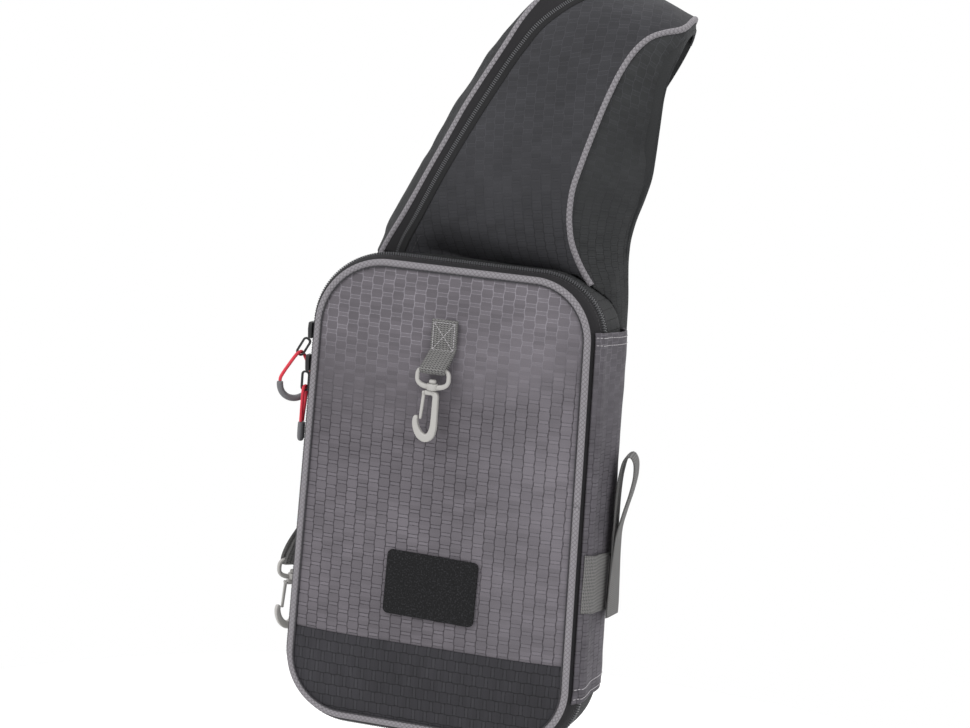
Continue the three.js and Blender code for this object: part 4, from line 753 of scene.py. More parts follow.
def sleeve_point(across, z, lift=0.0):
    """A point `across` (0 front to 1 back) at height z: the outline grown by swell(across) times
    SWELL_FOOT to SWELL_TOP, and by 2.2 mm more than the edge at least"""
    across, z = np.broadcast_arrays(np.asarray(across, float), np.asarray(z, float))
    y = SLEEVE_FRONT + (SLEEVE_BACK - SLEEVE_FRONT) * across
    fine = np.linspace(0, 1, 201)
    swell = np.interp(across, fine, soften(np.interp(fine, SWELL[:, 0], SWELL[:, 1]), 8))
    full = SWELL_FOOT + (SWELL_TOP - SWELL_FOOT) * z / SLEEVE_TOP
    under = np.where(np.abs(y - ZIP_Y) < 8, 9.0, edge_grow(y))
    grow = np.maximum(swell * full, under + 2.2)
    return np.stack([side_reach(z, 1, grow + lift), y, z], -1)


across = np.linspace(0, 1, 60)
foot = 34 + 3 * np.sin(math.pi * across)
top = SLEEVE_TOP - 4.5 * across
zz = foot[None] + (top - foot)[None] * np.linspace(0, 1, 150)[:, None]
points = sleeve_point(across[None], zz)
smooth = np.stack([soften(row, 3) for row in points[..., 0]])
points[..., 0] = np.maximum(smooth, points[..., 0] - 0.6)
calm = np.clip(np.minimum(across, 1 - across) * 8, 0, 1)[None]
points[..., 0] += calm * (0.45 * smooth_noise(points[..., 1], zz * 0.6, 13, 31)
                          + 0.2 * smooth_noise(points[..., 1], zz, 6, 32))
girth = np.stack([run_length(row) for row in points])
grid_piece("side_sleeve_cloth", points, side_honeycomb, "side_sleeve", uv=(girth + 4, zz), wall=1.5)


def outward(row):
    """Directions square to a row of points and to the vertical"""
    return unit(np.cross(np.gradient(row, axis=0), [0.0, 0.0, 1.0]))


for label, index in (("top_a", 147), ("top_b", 144), ("foot_a", 2), ("foot_b", 6)):
    row = points[index]
    stitch_line("sleeve_stitch_" + label, row + outward(row) * 0.05, outward(row), grey_thread)

band_across = np.linspace(0.0, 0.9, 50)
bz = (BAND_FOOT + (BAND_TOP - BAND_FOOT) * np.linspace(0, 1, 24)[:, None]
      - BAND_SLOPE * band_across[None])
band_points = sleeve_point(band_across[None], bz, 2.1)
band_points[..., 0] = np.stack([soften(row, 3) for row in band_points[..., 0]])
band_points[..., 0] += 0.2 * smooth_noise(band_points[..., 1], bz, 9, 41)
band_girth = np.stack([run_length(row) for row in band_points])
grid_piece("side_band_webbing", band_points, grey_webbing, "side_band", uv=(bz, band_girth), wall=1.4)
band_column = band_points[:, 27]
band_face = outward(band_column).mean(0)
stitch_line("side_band_stitch", band_column[1:-1] + 0.05 * band_face, band_face, grey_thread,
            pitch=2.4, length=2.0)


def strap_strip(name, path, side, width, thickness, material, node, columns=10):
    """Webbing along a path: a closed flat section with rounded edges, t = sqrt(1 - |w|^8)"""
    side = unit(side)
    face = unit(np.cross(unit(np.gradient(path, axis=0)), side))
    half = np.linspace(-1, 1, columns)
    w = np.concatenate([half, half[::-1]]) * width / 2
    edge = np.sqrt(np.maximum(1 - np.abs(half) ** 8, 0.03))
    t = np.concatenate([edge, -edge[::-1]]) * thickness / 2
    points = path[:, None] + w[None, :, None] * side[:, None] + t[None, :, None] * face[:, None]
    grid_piece(name, points, material, node, uv=(w[None] + 50, run_length(path)[:, None]),
               closed=True, caps=True)


# The folded strap as rows of (out, up), in units of ROD_UNIT from its lower end.
ROD_PATH = np.array([
    [0, 0.03], [0, 0.3], [0, 0.46], [-0.002, 0.6], [-0.002, 0.76], [0.006, 0.88], [0.028, 0.97],
    [0.056, 0.99], [0.082, 0.96], [0.09, 0.88], [0.076, 0.78], [0.044, 0.645], [0.021, 0.53],
    [0.0165, 0.42], [0.0165, 0.27], [0.0175, 0.02]])
ROD_TURN, ROD_UNIT, ROD_WIDTH, ROD_THICK = math.radians(8), 122, 25, 1.8


def rod_strap():
    """Sewn on the band's middle, folded over at the top; the outer leg turns a little as it falls"""
    seat = sleeve_point(0.56, (BAND_FOOT + BAND_TOP) / 2, 1.85 + 1.15 * ROD_THICK)
    out = np.array([math.cos(ROD_TURN), math.sin(ROD_TURN), 0.0])
    low = BAND_FOOT - BAND_SLOPE * 0.62 - 6
    rows = [np.array([seat[0], seat[1], low + r * ROD_UNIT]) + out * o * ROD_UNIT
            for o, r in ROD_PATH]
    path = spline(rows, 170)
    fall = np.clip((low + 70 - path[:, 2]) / 60, 0, 1) * (np.arange(170) > 85)
    turn = ROD_TURN * (1 - 1.6 * fall)
    side = np.stack([-np.sin(turn), np.cos(turn), np.zeros(170)], 1)
    strap_strip("rod_strap_webbing", path, side, ROD_WIDTH, ROD_THICK, grey_webbing, "rod_strap")


rod_strap()

# %% [markdown]
# ## Hook holders
# The webbing bends round the eye's upper bar. Each hook is a sweep along a drawn line, with a
# rounded section, plus a turned pin; each gate is a flat tongue. Everything of a swivel is drawn
# about its pin, at the local origin.

# %%
EYE_BAR, HOOK, TAB_WIDTH, TAB_THICK = 3.3, 35.6, 19, 1.5
# The hook's line in units of its length: x, z and half its width.
HOOK_LINE = np.array([
    [-0.165, -0.058, 0.045], [-0.07, -0.058, 0.045], [0.028, -0.059, 0.048], [0.081, -0.101, 0.055],
    [0.088, -0.239, 0.058], [0.088, -0.421, 0.06], [0.087, -0.618, 0.063], [0.076, -0.787, 0.07],
    [0.022, -0.927, 0.079], [-0.073, -0.978, 0.081], [-0.185, -0.927, 0.076], [-0.272, -0.798, 0.063],
    [-0.306, -0.646, 0.051], [-0.287, -0.534, 0.038]])
PIVOT = np.array([-0.165 * HOOK, 0.0, -0.06 * HOOK])
HEAD = EYE_BAR + 1.3 + 0.3
PIN = [(0.3, -2.5), (1.5, -2.5), (1.5, HEAD), (2.5, HEAD), (2.7, HEAD + 0.3), (2.7, HEAD + 1.5),
       (2.3, HEAD + 2.3), (1.4, HEAD + 2.6), (0.2, HEAD + 2.6)]
RIVET = [(0.05, -0.3), (0.9, -0.3), (1.0, 0.0), (0.9, 0.25), (0.05, 0.3)]
BOSS = [(1.8, 0.0), (3.7, 0.0), (4.0, 0.3), (4.0, 4.2), (3.7, 4.6), (1.8, 4.6), (1.8, 0.0)]
FRONT_SWIVEL = np.array([-5.9, PANEL_Y - 9.2, 249.8])
SIDE_WALL_X = -(side_line(134) + 8)


def turned(points, angle):
    """Turned about Z by an angle, which may be one a point"""
    c, s = np.cos(angle), np.sin(angle)
    x, y = points[..., 0] * c - points[..., 1] * s, points[..., 0] * s + points[..., 1] * c
    return np.stack([x, y, points[..., 2]], -1)


def front_world(points, is_direction=False):
    return points if is_direction else points + np.array([-2.3, PANEL_Y, 0.0])


def side_world(points, is_direction=False):
    moved = turned(np.asarray(points, float), -math.pi / 2)
    return moved if is_direction else moved + np.array([SIDE_WALL_X, 9.8, 0.0])


def front_swivel(points):
    return points + FRONT_SWIVEL


def side_swivel(points):
    return side_world(turned(points, math.radians(135)) + np.array([0.0, -15.0, 82.0]))


def hook_webbing(name, node, to_world, sewn_top, sewn_foot, bar_height, bar_out, drift, turn):
    """Down the cloth at `inner`, half round the bar, and up again at `outer` over the first layer.
    Below the sewn part it drifts sideways and turns with the eye."""
    inner, outer = 1.1, 2.95
    bend = 0.5 * math.hypot(EYE_BAR, 3.4) + 1.1
    rows = [[inner, sewn_top], [inner, sewn_foot + 8], [inner, sewn_foot + 3]]
    rows += [[bar_out - bend * math.cos(a), bar_height - bend * math.sin(a)]
             for a in np.linspace(0, math.pi, 9)]
    rows += [[outer, sewn_foot + 3], [outer, sewn_foot + 8], [outer, sewn_top]]
    rows = spline(rows, 150)
    none = np.zeros(150)
    fall = np.clip((sewn_foot + 3 - rows[:, 1]) / (sewn_foot + 3 - bar_height), 0, 1)
    path = turned(np.stack([none, bar_out - rows[:, 0], none], 1), turn * fall)
    path += np.stack([drift * fall, none - bar_out, rows[:, 1]], 1)
    side = np.stack([np.cos(turn * fall), np.sin(turn * fall), none], 1)
    strap_strip(name, to_world(path), to_world(side, True), TAB_WIDTH, TAB_THICK, grey_webbing, node)


def superellipse_sweep(centres, half_wide, half_thick, sides=28, power=4.5):
    """Sections square to a line in the XZ plane: |a|^p + |b|^p = 1"""
    tangent = unit(np.gradient(centres, axis=0))
    normal = np.stack([tangent[:, 2], np.zeros(len(centres)), -tangent[:, 0]], 1)
    a = signed_power(np.cos(circle(sides)), 2 / power)
    b = signed_power(np.sin(circle(sides)), 2 / power)
    return (centres[:, None] + (half_wide[:, None] * a[None])[..., None] * normal[:, None]
            + (half_thick[:, None] * b[None])[..., None] * np.array([0.0, 1.0, 0.0]))


def rounded_ends(half, centres, reach=1.6):
    """Shrinks a width to nothing over the last `reach` mm, as a quarter circle"""
    run = run_length(centres)
    near = np.minimum(run, run[-1] - run) / reach
    return half * np.sqrt(np.clip(1 - (1 - np.clip(near, 0, 1)) ** 2, 0.0004, 1))


def lathe(profile, steps=28):
    """Rings about Z through (radius, height) rows: (r cos a, r sin a, h)"""
    angle = circle(steps)[None]
    radius, height = np.array(profile, float).T[..., None]
    return np.stack([radius * np.cos(angle), radius * np.sin(angle), height + 0 * angle], -1)


def eye_loop():
    """A rounded loop, thicker below, whose section is a superellipse too"""
    ca, sa = np.cos(circle(120)), np.sin(circle(120))
    thick = 1.5 + 0.45 * np.clip(-sa, 0, 1) ** 2
    wide, tall, power = 13.2 - thick, 8.5 - thick, np.where(sa < 0, 2.5, 3.4)
    loop = np.stack([signed_power(ca, 2 / power) * wide, np.zeros(120),
                     8.5 + signed_power(sa, 2 / power) * tall], 1)
    tangent = unit(np.roll(loop, -1, 0) - np.roll(loop, 1, 0))
    normal = np.stack([tangent[:, 2], np.zeros(120), -tangent[:, 0]], 1)
    a = signed_power(np.cos(circle(14)), 0.75) * thick[:, None]
    b = signed_power(np.sin(circle(14)), 0.75) * 1.65
    ring = (loop[:, None] + a[:, :, None] * normal[:, None]
            + b[None, :, None] * np.array([0.0, 1.0, 0.0]))
    return np.concatenate([ring, ring[:1]])


def join(name, objects, node):
    """One mesh of several overlapping forms, which stands for one CAD node"""
    bpy.ops.object.select_all(action="DESELECT")
    for item in objects:
        item.select_set(True)
    bpy.context.view_layer.objects.active = objects[0]
    bpy.ops.object.join()
    objects[0].name = name
    stands_for(node)


def swivel(prefix, to_world):
    """Hook, eye and gate about a vertical pin"""
    hook_body, gate_body = prefix + "_swivel_body", prefix + "_gate_body"
    solid = {"closed": True, "caps": True}
    flat = spline(HOOK_LINE * HOOK, 90)
    centres = np.stack([flat[:, 0], np.zeros(90), flat[:, 1]], 1)
    half = rounded_ends(flat[:, 2] + 0.05, centres)
    bar = superellipse_sweep(centres, half, rounded_ends(np.full(90, 2.2), centres))
    parts = [grid_piece(prefix + "_bar", to_world(bar), grey_plastic, flip=True, body=hook_body,
                        **solid),
             grid_piece(prefix + "_pin", to_world(lathe(PIN)), grey_plastic, body=hook_body, **solid)]
    for y in (-2.0, 2.0):
        rivet = lathe(RIVET, 16)
        rivet = np.stack([rivet[..., 0], rivet[..., 2] * np.sign(y), rivet[..., 1]], -1)
        rivet = rivet + PIVOT + [0, y, 0]
        parts.append(grid_piece(prefix + "_rivet", to_world(rivet), grey_plastic, flip=y > 0,
                                body=hook_body, **solid))
    join(prefix + "_hook_moulding", parts, prefix + "_hook")

    eye = [grid_piece(prefix + "_loop", to_world(eye_loop()), grey_plastic, closed=True, flip=True),
           grid_piece(prefix + "_boss", to_world(lathe(BOSS)), grey_plastic, closed=True)]
    join(prefix + "_eye_moulding", eye, prefix + "_eye")

    tip = -0.61 * HOOK
    line = spline([[PIVOT[0], PIVOT[2] + 1.2], [PIVOT[0], PIVOT[2]],
                   [PIVOT[0] - 0.022 * HOOK, (PIVOT[2] + tip) / 2],
                   [PIVOT[0] - 0.043 * HOOK, tip]], 50)
    centres = np.stack([line[:, 0], np.zeros(50), line[:, 1]], 1)
    half = rounded_ends(np.interp(run_length(centres), [0, 3, 21], [1.6, 1.2, 1.0]), centres, 1.2)
    thick = rounded_ends(np.full(50, 1.0), centres, 0.6)
    tongue = superellipse_sweep(centres, half, thick, power=3.2)
    grid_piece(prefix + "_gate_moulding", to_world(tongue), grey_plastic, prefix + "_gate", flip=True,
               body=gate_body, **solid)


def box_stitch(prefix, to_world, low, high, reach=7.8, out=3.72):
    """A sewn box with a cross in it"""
    c = np.array([(-reach, low), (reach, low), (reach, high), (-reach, high)])
    normal = to_world(np.array([[0.0, -1.0, 0.0]]), True)
    for n, (a, b) in enumerate([(0, 1), (1, 2), (2, 3), (3, 0), (0, 2), (1, 3)]):
        flat = c[a] + np.linspace(0, 1, 20)[:, None] * (c[b] - c[a])
        path = to_world(np.stack([flat[:, 0], np.full(20, -out), flat[:, 1]], 1))
        stitch_line(f"{prefix}_box_stitch_{n}", path, normal, grey_thread, pitch=2.2, length=1.7,
                    width=0.6)


hook_webbing("front_tab_webbing", "front_tab", front_world, 299.5, 275.5, 249.8 + 17 - EYE_BAR / 2,
             9.2, -3.6, 0.0)
swivel("front", front_swivel)
hook_webbing("side_tab_webbing", "side_tab", side_world, 158, 134, 82 + 17 - EYE_BAR / 2, 15, 0.0,
             math.radians(-45))
swivel("side", side_swivel)
box_stitch("front_tab", front_world, 278, 297.5)
box_stitch("side_tab", side_world, 137, 156)

# %% [markdown]
# ## Zip pulls
# The red cords are curves on the route that the solids follow. Sliders, tabs and grips keep their
# solids, with their edges rounded.

# %%
UPPER_ROUTE = [
    [-132.2, -28.2, 237.2], [-132, -28.2, 239.4], [-129.4, -28.1, 244.5], [-126, -27.9, 250],
    [-122.6, -27.6, 255.4], [-120.6, -26.9, 258.3], [-119.6, -25.3, 259.3], [-119.4, -23.7, 259.4],
    [-119.2, -22.1, 259.3], [-118.4, -20.7, 258], [-117, -18.9, 254.6], [-115.5, -17, 250],
    [-114.2, -15.2, 245.4], [-113.5, -13.9, 241.4], [-113.4, -13.6, 239]]
LOWER_ROUTE = [
    [-115, -25.5, 208.6], [-115, -25.5, 211], [-114.8, -26, 216], [-114.5, -26.6, 222],
    [-114.3, -27, 227], [-114.2, -27.1, 230.4], [-114.2, -26.7, 232.8], [-114.2, -25.3, 234.6],
    [-114.2, -23.7, 234.7], [-114.2, -22.1, 234.6], [-114.2, -20.7, 232.8], [-114.2, -20.3, 230.4],
    [-114.3, -20.4, 227], [-114.5, -20.8, 222], [-114.8, -21.4, 216], [-115, -21.9, 211],
    [-115, -21.9, 208.6]]
CORD = 0.0025


def pull_cord(name, node, route):
    line = spline(route, 60)
    data = bpy.data.curves.new(name, "CURVE")
    data.dimensions, data.bevel_depth, data.bevel_resolution = "3D", CORD / 2, 5
    data.use_fill_caps = True
    path = data.splines.new("POLY")
    path.points.add(len(line) - 1)
    path.points.foreach_set("co", np.hstack([place(line), np.ones((len(line), 1))]).ravel())
    made = bpy.data.objects.new(name, data)
    scene.collection.objects.link(made)
    data.materials.append(red_cord)
    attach(made, "bag")
    stands_for(node)


def keep_solid(node, material, width):
    """The CAD solid itself, with welded corners, edges rounded by `width` mm and a material"""
    piece = nodes[node]
    piece.data.materials.clear()
    piece.data.materials.append(material)
    piece.modifiers.new("weld", "WELD").merge_threshold = 0.00001
    if width:
        round_off = piece.modifiers.new("round", "BEVEL")
        round_off.width, round_off.segments = width / 1000, 2
        round_off.limit_method, round_off.angle_limit = "ANGLE", math.radians(35)
    piece.data.polygons.foreach_set("use_smooth", np.full(len(piece.data.polygons), True))


pull_cord("upper_red_cord", "upper_pull_cord", UPPER_ROUTE)
pull_cord("lower_red_cord", "lower_pull_cord", LOWER_ROUTE)
for node in ("upper_slider", "lower_slider", "strap_zip_slider", "upper_pull_tab", "lower_pull_tab"):
    keep_solid(node, black_plastic, 0.3)
for node in ("upper_grip", "lower_grip"):
    keep_solid(node, grip_rubber, 0)
    ease = nodes[node].modifiers.new("ease", "SUBSURF")
    ease.levels = ease.render_levels = 2
for node in ("strap_ring", "strap_buckle"):
    keep_solid(node, black_plastic, 0.8)

# %% [markdown]
# ## Shoulder strap
# The strap is one flat loop, leaning by 20.5 degrees. A point on it is given by the distance along
# the loop, w across it and `out` off its inner face:
# x = 11 + u sin(lean) + w cos(tilt), y = v, z = 342.5 + u cos(lean) - w sin(tilt).

# %%
LEAN = math.radians(20.5)
STRAP_WIDTH, STRAP_DEPTH, STRAP_PIPE = 190.0, 50.0, 2.3
RISE, BURY, ROOT, SHOULDER_RADIUS, TAIL_DROP = 150.0, 24.0, 44.0, 48.0, 285.0


def bezier(a, b, c, d, count=400):
    """a (1-t)^3 + 3 b t (1-t)^2 + 3 c t^2 (1-t) + d t^3"""
    t = np.linspace(0, 1, count)[:, None]
    a, b, c, d = (np.array(p, float) for p in (a, b, c, d))
    return a * (1 - t) ** 3 + 3 * b * t * (1 - t) ** 2 + 3 * c * t * t * (1 - t) + d * t ** 3


front_run = bezier((37, -BURY), (37, 30), (15, 0.6 * RISE), (15, RISE))
angle = np.linspace(math.pi, 0, 400)[:, None]
arch = np.array([63.0, RISE]) + SHOULDER_RADIUS * np.hstack([np.cos(angle), np.sin(angle)])
rear_run = bezier((111, RISE), (120, -10), (52, -0.5 * TAIL_DROP), (39.4, -TAIL_DROP))
LOOP = np.vstack([[[37, -BURY - ROOT]], front_run, arch[1:], rear_run[1:]])
LOOP_RUN = run_length(LOOP) - ROOT
VISIBLE = run_length(front_run)[-1] + run_length(arch)[-1]
LOOP_TANGENT = unit(np.gradient(LOOP, LOOP_RUN, axis=0))

# The strap's cross-section at shares of VISIBLE: its tilt as a share of the lean, its seams as
# shares of STRAP_WIDTH, and its depth and crown as shares of STRAP_DEPTH.
SECTION_NAMES = ["at", "tilt", "left", "pipe_left", "zip", "pipe_right", "right", "lift", "crown"]
SECTIONS = np.array([
    [0, 0.2, -0.475, -0.405, -0.321, 0.532, 0.545, 0.84, 0.04],
    [0.073, 0.34, -0.478, -0.389, -0.326, 0.437, 0.498, 0.84, 0.06],
    [0.135, 0.49, -0.456, -0.363, -0.305, 0.353, 0.462, 0.86, 0.08],
    [0.196, 0.63, -0.438, -0.342, -0.289, 0.284, 0.436, 0.88, 0.09],
    [0.257, 0.76, -0.412, -0.326, -0.274, 0.237, 0.425, 0.86, 0.09],
    [0.318, 0.85, -0.393, -0.311, -0.258, 0.205, 0.425, 0.8, 0.09],
    [0.379, 0.93, -0.371, -0.3, -0.242, 0.195, 0.42, 0.72, 0.08],
    [0.44, 0.98, -0.35, -0.284, -0.226, 0.184, 0.395, 0.61, 0.08],
    [0.502, 1, -0.322, -0.268, -0.211, 0.174, 0.365, 0.5, 0.07],
    [0.563, 1, -0.298, -0.258, -0.189, 0.168, 0.332, 0.38, 0.06],
    [0.612, 1, -0.274, -0.241, -0.142, 0.174, 0.314, 0.3, 0.06],
    [0.657, 1, -0.254, -0.23, -0.095, 0.206, 0.306, 0.245, 0.05],
    [0.68, 1, -0.25, -0.227, -0.075, 0.256, 0.3, 0.225, 0.04],
    [0.703, 1, -0.247, -0.224, -0.06, 0.276, 0.29, 0.205, 0.035],
    [0.768, 1, -0.252, -0.222, -0.035, 0.262, 0.28, 0.2, 0.025],
    [0.88, 1, -0.258, -0.226, -0.03, 0.215, 0.25, 0.2, 0.02],
    [1, 1, -0.265, -0.23, -0.03, 0.18, 0.215, 0.21, 0],
    [1.22, 1, -0.215, -0.18, -0.03, 0.13, 0.165, 0.2, 0],
    [1.42, 1, -0.14, -0.1, -0.03, 0.07, 0.1, 0.2, 0],
    [1.5, 1, -0.122, -0.1, -0.03, 0.05, 0.082, 0.2, 0]])
FINE = np.linspace(0, 1.5, 601)
SMOOTHED = {name: soften(np.interp(FINE, SECTIONS[:, 0], SECTIONS[:, n]), 9)
            for n, name in enumerate(SECTION_NAMES) if n}
POCKET_END, PAD_END = 0.88 * VISIBLE, 1.5 * VISIBLE
long_run = np.linspace(8, POCKET_END, 190)


def section(name, along):
    return np.interp(np.asarray(along) / VISIBLE, FINE, SMOOTHED[name])


def seam(name, along, by=0.0):
    """w of a seam, moved across the strap by `by`"""
    return section(name, along) * STRAP_WIDTH + by


def strap_point(along, w, out):
    along, w, out = np.broadcast_arrays(*(np.asarray(a, float) for a in (along, w, out)))
    v, u = (np.interp(along, LOOP_RUN, LOOP[:, n]) for n in (0, 1))
    tv, tu = (np.interp(along, LOOP_RUN, LOOP_TANGENT[:, n]) for n in (0, 1))
    v, u = v - tu * out, u + tv * out
    tilt = LEAN * section("tilt", along)
    return np.stack([11 + u * math.sin(LEAN) + w * np.cos(tilt), v,
                     342.5 + u * math.cos(LEAN) - w * np.sin(tilt)], -1)


def pocket_out(along, w):
    """depth = lift + 4 crown share (1 - share), where share runs from piping to piping"""
    left, right = seam("pipe_left", along), seam("pipe_right", along)
    share = np.clip((w - left) / (right - left), 0, 1)
    return (section("lift", along) + 4 * section("crown", along) * share * (1 - share)) * STRAP_DEPTH


def in_case(points):
    """True where a point lies inside the case"""
    x, y, z = points[..., 0], points[..., 1], points[..., 2]
    grow = edge_grow(y)
    below = z < CASE_HEIGHT + grow * np.where(grow > 0, TOP_SWELL / SIDE_SWELL, 1) - 0.6
    between = np.abs(x) < np.where(x > 0, side_reach(z, 1, grow), -side_reach(z, -1, grow))
    return below & between & (y > FRONT_Y) & (y < BACK_Y)


def trim(made, points):
    """Drops the faces whose corners all lie inside the case"""
    inside = in_case(points).reshape(-1)
    shape = bmesh.new()
    shape.from_mesh(made.data)
    gone = [face for face in shape.faces if all(inside[v.index] for v in face.verts)]
    bmesh.ops.delete(shape, geom=gone, context="FACES")
    shape.to_mesh(made.data)
    shape.free()


def plumb(w, along):
    """Cloth map turned by the strap's lean, so that its columns hang straight down in the picture"""
    turn = LEAN + ROLL
    return (w * math.cos(turn) + along * math.sin(turn) + 200,
            along * math.cos(turn) - w * math.sin(turn) + 200)


def strap_sheet(name, node, low, high, columns, material, raise_by=0.0, folds=0.0, tuck_by=0.0):
    """Cloth from seam to seam on pocket_out, with folds that die out at both seams and are deeper
    low down, and drawn in by tuck_by where it enters the case"""
    share = np.linspace(0, 1, columns)
    w = low[:, None] + (high - low)[:, None] * share[None]
    along = np.broadcast_to(long_run[:, None], w.shape)
    edge = np.minimum(share, 1 - share)[None]
    low_down = np.exp(-np.maximum(along - 30, 0) / 45)
    tuck = np.clip((52 - along) / 30, 0, 1)
    out = pocket_out(along, w) + raise_by - tuck_by * tuck ** 2 * np.clip(edge * 6, 0, 1)
    fold = (smooth_noise(w * 0.7 + along * 0.35, along, 16, 51) * (0.5 + low_down)
            + 0.35 * smooth_noise(w, along, 6, 52))
    points = strap_point(along, w, out + folds * np.clip(edge * 7, 0, 1) * fold)
    made = grid_piece(name, points, material, node, uv=plumb(w, along), wall=1.5, flip=True)
    trim(made, points)


strap_sheet("strap_pocket_cloth", "strap_front_panel", seam("zip", long_run, 3.2),
            seam("pipe_right", long_run, -1.2), 90, black_honeycomb, folds=0.7, tuck_by=13.0)
strap_sheet("strap_band_cloth", "strap_zip_band", seam("pipe_left", long_run, 1.2),
            seam("zip", long_run, -3.0), 16, black_weave, folds=0.2)
strap_sheet("strap_zip_tape", "strap_zip", seam("zip", long_run, -3.6), seam("zip", long_run, 3.6), 7,
            tape_weave, raise_by=0.35)


def strap_line(name, by, raise_by=0.1):
    """Points and normals beside a seam, as far as they are out of the case"""
    w = seam(name, long_run, by)
    out = pocket_out(long_run, w) + raise_by
    points, lifted = strap_point(long_run, w, out), strap_point(long_run, w, out + 1)
    keep = ~in_case(points)
    return points[keep], (lifted - points)[keep]


zip_chain("strap_zip_teeth", *strap_line("zip", 0.0, 0.2), pitch=1.6, width=3.6, gap=1.9)
stitch_line("strap_zip_stitch_a", *strap_line("zip", 6.0), dark_thread)
stitch_line("strap_zip_stitch_b", *strap_line("zip", 8.3), dark_thread)
stitch_line("strap_left_stitch", *strap_line("pipe_left", 4.2), dark_thread)


def strap_wall(name, node, edge, side, folds, seed, low):
    """From the pad's edge up to the piping, bowed out: bow = 3 sin(pi share). Below the case's top
    the right wall hangs straight down, so w grows by (24 - along) tan(lean) there."""
    share = np.linspace(0, 1, 34)[None]
    along = np.concatenate([np.arange(low, 8.0, 3.0), long_run])[:, None]
    drop = np.maximum(BURY - along, 0) * math.tan(LEAN) * (side > 0)
    held = np.maximum(along, BURY)
    foot_w = seam(edge, held) + side * 0.9 + drop
    foot_out = 0.6
    run_w = seam("pipe_" + edge, held) + drop - foot_w
    run_out = section("lift", along) * STRAP_DEPTH - foot_out
    length = np.sqrt(run_w ** 2 + run_out ** 2)
    calm = np.sin(math.pi * share) * np.clip((length - 6) / 20, 0, 1)
    fold = (smooth_noise(along, share * length * 1.3, 11, seed)
            + 0.6 * smooth_noise(along * 1.4, share * length, 6, seed + 1))
    bow = calm * (3.0 + folds * fold)
    w = foot_w + run_w * share + side * np.abs(run_out) / length * bow
    out = foot_out + run_out * share + np.abs(run_w) / length * bow
    points = strap_point(along, w, out)
    made = grid_piece(name, points, wall_honeycomb, node, uv=(share * length, along + 100), wall=1.4,
                      flip=side > 0)
    trim(made, points)


strap_wall("strap_left_cloth", "strap_left_wall", "left", -1, 0.7, 61, 8.0)
strap_wall("strap_side_cloth", "strap_side_panel", "right", 1, 0.9, 71, -31.0)

for edge in ("left", "right"):
    path = strap_point(long_run, seam("pipe_" + edge, long_run),
                       section("lift", long_run) * STRAP_DEPTH)
    path = path[max(np.argmax(~in_case(path)) - 2, 0):]
    round_tube(f"strap_{edge}_piping_cord", path, STRAP_PIPE, f"strap_{edge}_piping",
               (0.3, -0.9, 0.2))


def strap_pad():
    """Foam pad 8 mm thick: a closed section with round edges, t = sqrt(1 - |a|^9), that puffs and
    dents by a tenth of a millimetre"""
    run = np.linspace(2, PAD_END, 330)
    half = np.linspace(-1, 1, 26)
    edge = np.sqrt(np.maximum(1 - np.abs(half) ** 9, 0.0))
    a = np.concatenate([half, half[::-1]])
    t = np.concatenate([edge, -edge[::-1]])
    left, right = (seam(name, run)[:, None] for name in ("left", "right"))
    w = (left + right) / 2 + (right - left) / 2 * a[None]
    along = np.broadcast_to(run[:, None], w.shape)
    out = 4 + (3.9 + 0.1 * smooth_noise(w, along, 22, 81)) * t[None]
    points = strap_point(along, w, out)
    made = grid_piece("strap_back_pad_foam", points, mesh_weave, "strap_back_pad",
                      uv=(w + 100, along), closed=True, caps=True)
    trim(made, points)
    behind = int(np.searchsorted(run, POCKET_END + 6))
    for label, out_at, way, begin in (("inner", -0.02, -1, 0), ("outer", 8.0, 1, behind)):
        for name, shift in (("left", 5.0), ("right", -5.0)):
            w_line = seam(name, run, shift)
            line = strap_point(run, w_line, out_at)[begin:]
            other = strap_point(run, w_line, out_at + way)[begin:]
            keep = ~in_case(line)
            stitch_line(f"pad_stitch_{label}_{name}", line[keep], (other - line)[keep], dark_thread)


strap_pad()


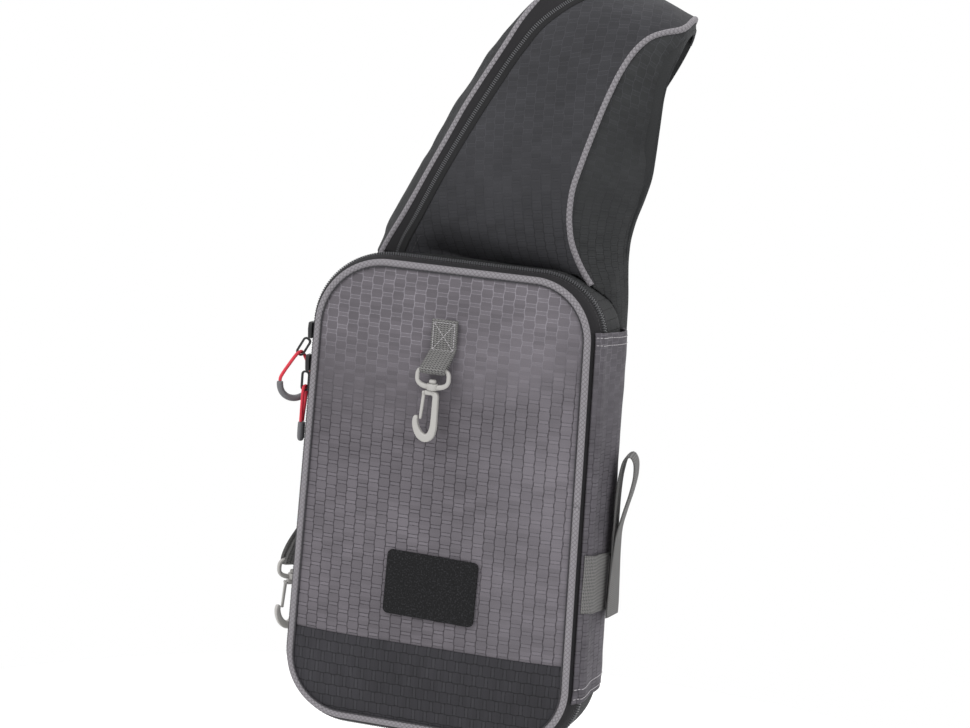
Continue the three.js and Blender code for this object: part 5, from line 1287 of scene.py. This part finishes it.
def pocket_end_seam():
    """A strip of cloth over the pocket's end: four rows that step down behind it"""
    left, right = (float(section(name, POCKET_END)) for name in ("pipe_left", "pipe_right"))
    w = np.linspace(left, right, 40) * STRAP_WIDTH
    out = pocket_out(np.full(40, POCKET_END), w)
    points = np.stack([strap_point(POCKET_END + shift, w, out + lift)
                       for shift, lift in ((-1.0, 0.3), (1.0, 0.2), (2.5, -1.2), (2.8, -3.3))])
    grid_piece("strap_pocket_end", points, black_weave, uv=(w[None], np.arange(4)[:, None] * 2.0),
               wall=0.8, flip=True)


pocket_end_seam()

# %% [markdown]
# ## The strap's end behind the bag
# Two lengths of webbing run on the loop's line from the ring to the buckle and from there to the
# corner tab, which keeps its solid.

# %%
TAIL_CENTRE, CORNER_CENTRE = -0.02 * STRAP_WIDTH, 8.0
LOOP_LENGTH = LOOP_RUN[-1]
RING_END, BUCKLE_TOP, BUCKLE_LENGTH, TAIL_WIDTH = PAD_END + 0.7 + 30, LOOP_LENGTH - 130, 58, 38


def tail_w(along):
    return TAIL_CENTRE + (CORNER_CENTRE - TAIL_CENTRE) * (along - PAD_END) / (LOOP_LENGTH - PAD_END)


for name, node, start, stop in (
        ("tail_webbing", "strap_webbing", RING_END, BUCKLE_TOP - 0.35),
        ("corner_webbing_strip", "corner_webbing", BUCKLE_TOP + BUCKLE_LENGTH + 0.35, LOOP_LENGTH)):
    run = np.linspace(start, stop, 60)
    centre = strap_point(run, tail_w(run), 4.0)
    side = strap_point(run, tail_w(run) + 1, 4.0) - centre
    strap_strip(name, centre, side, TAIL_WIDTH, 1.5, black_webbing, node, columns=14)
keep_solid("corner_tab", black_weave, 0.4)

# %% [markdown]
# ## Floor
# The floor is a pale disc, far enough below that the hanging bag throws no hard shadow on it.

# %%
floor_mesh = bpy.data.meshes.new("floor")
turns = circle(96)
disc = np.stack([-0.08 + 0.62 * np.cos(turns), -0.02 + 0.62 * np.sin(turns), np.full(96, -0.66)], 1)
floor_mesh.from_pydata(disc.tolist(), [], [tuple(range(96))])
floor = bpy.data.objects.new("floor", floor_mesh)
floor_mesh.materials.append(Look("white_floor", "f7f7f7", 0.9).material)
scene.collection.objects.link(floor)
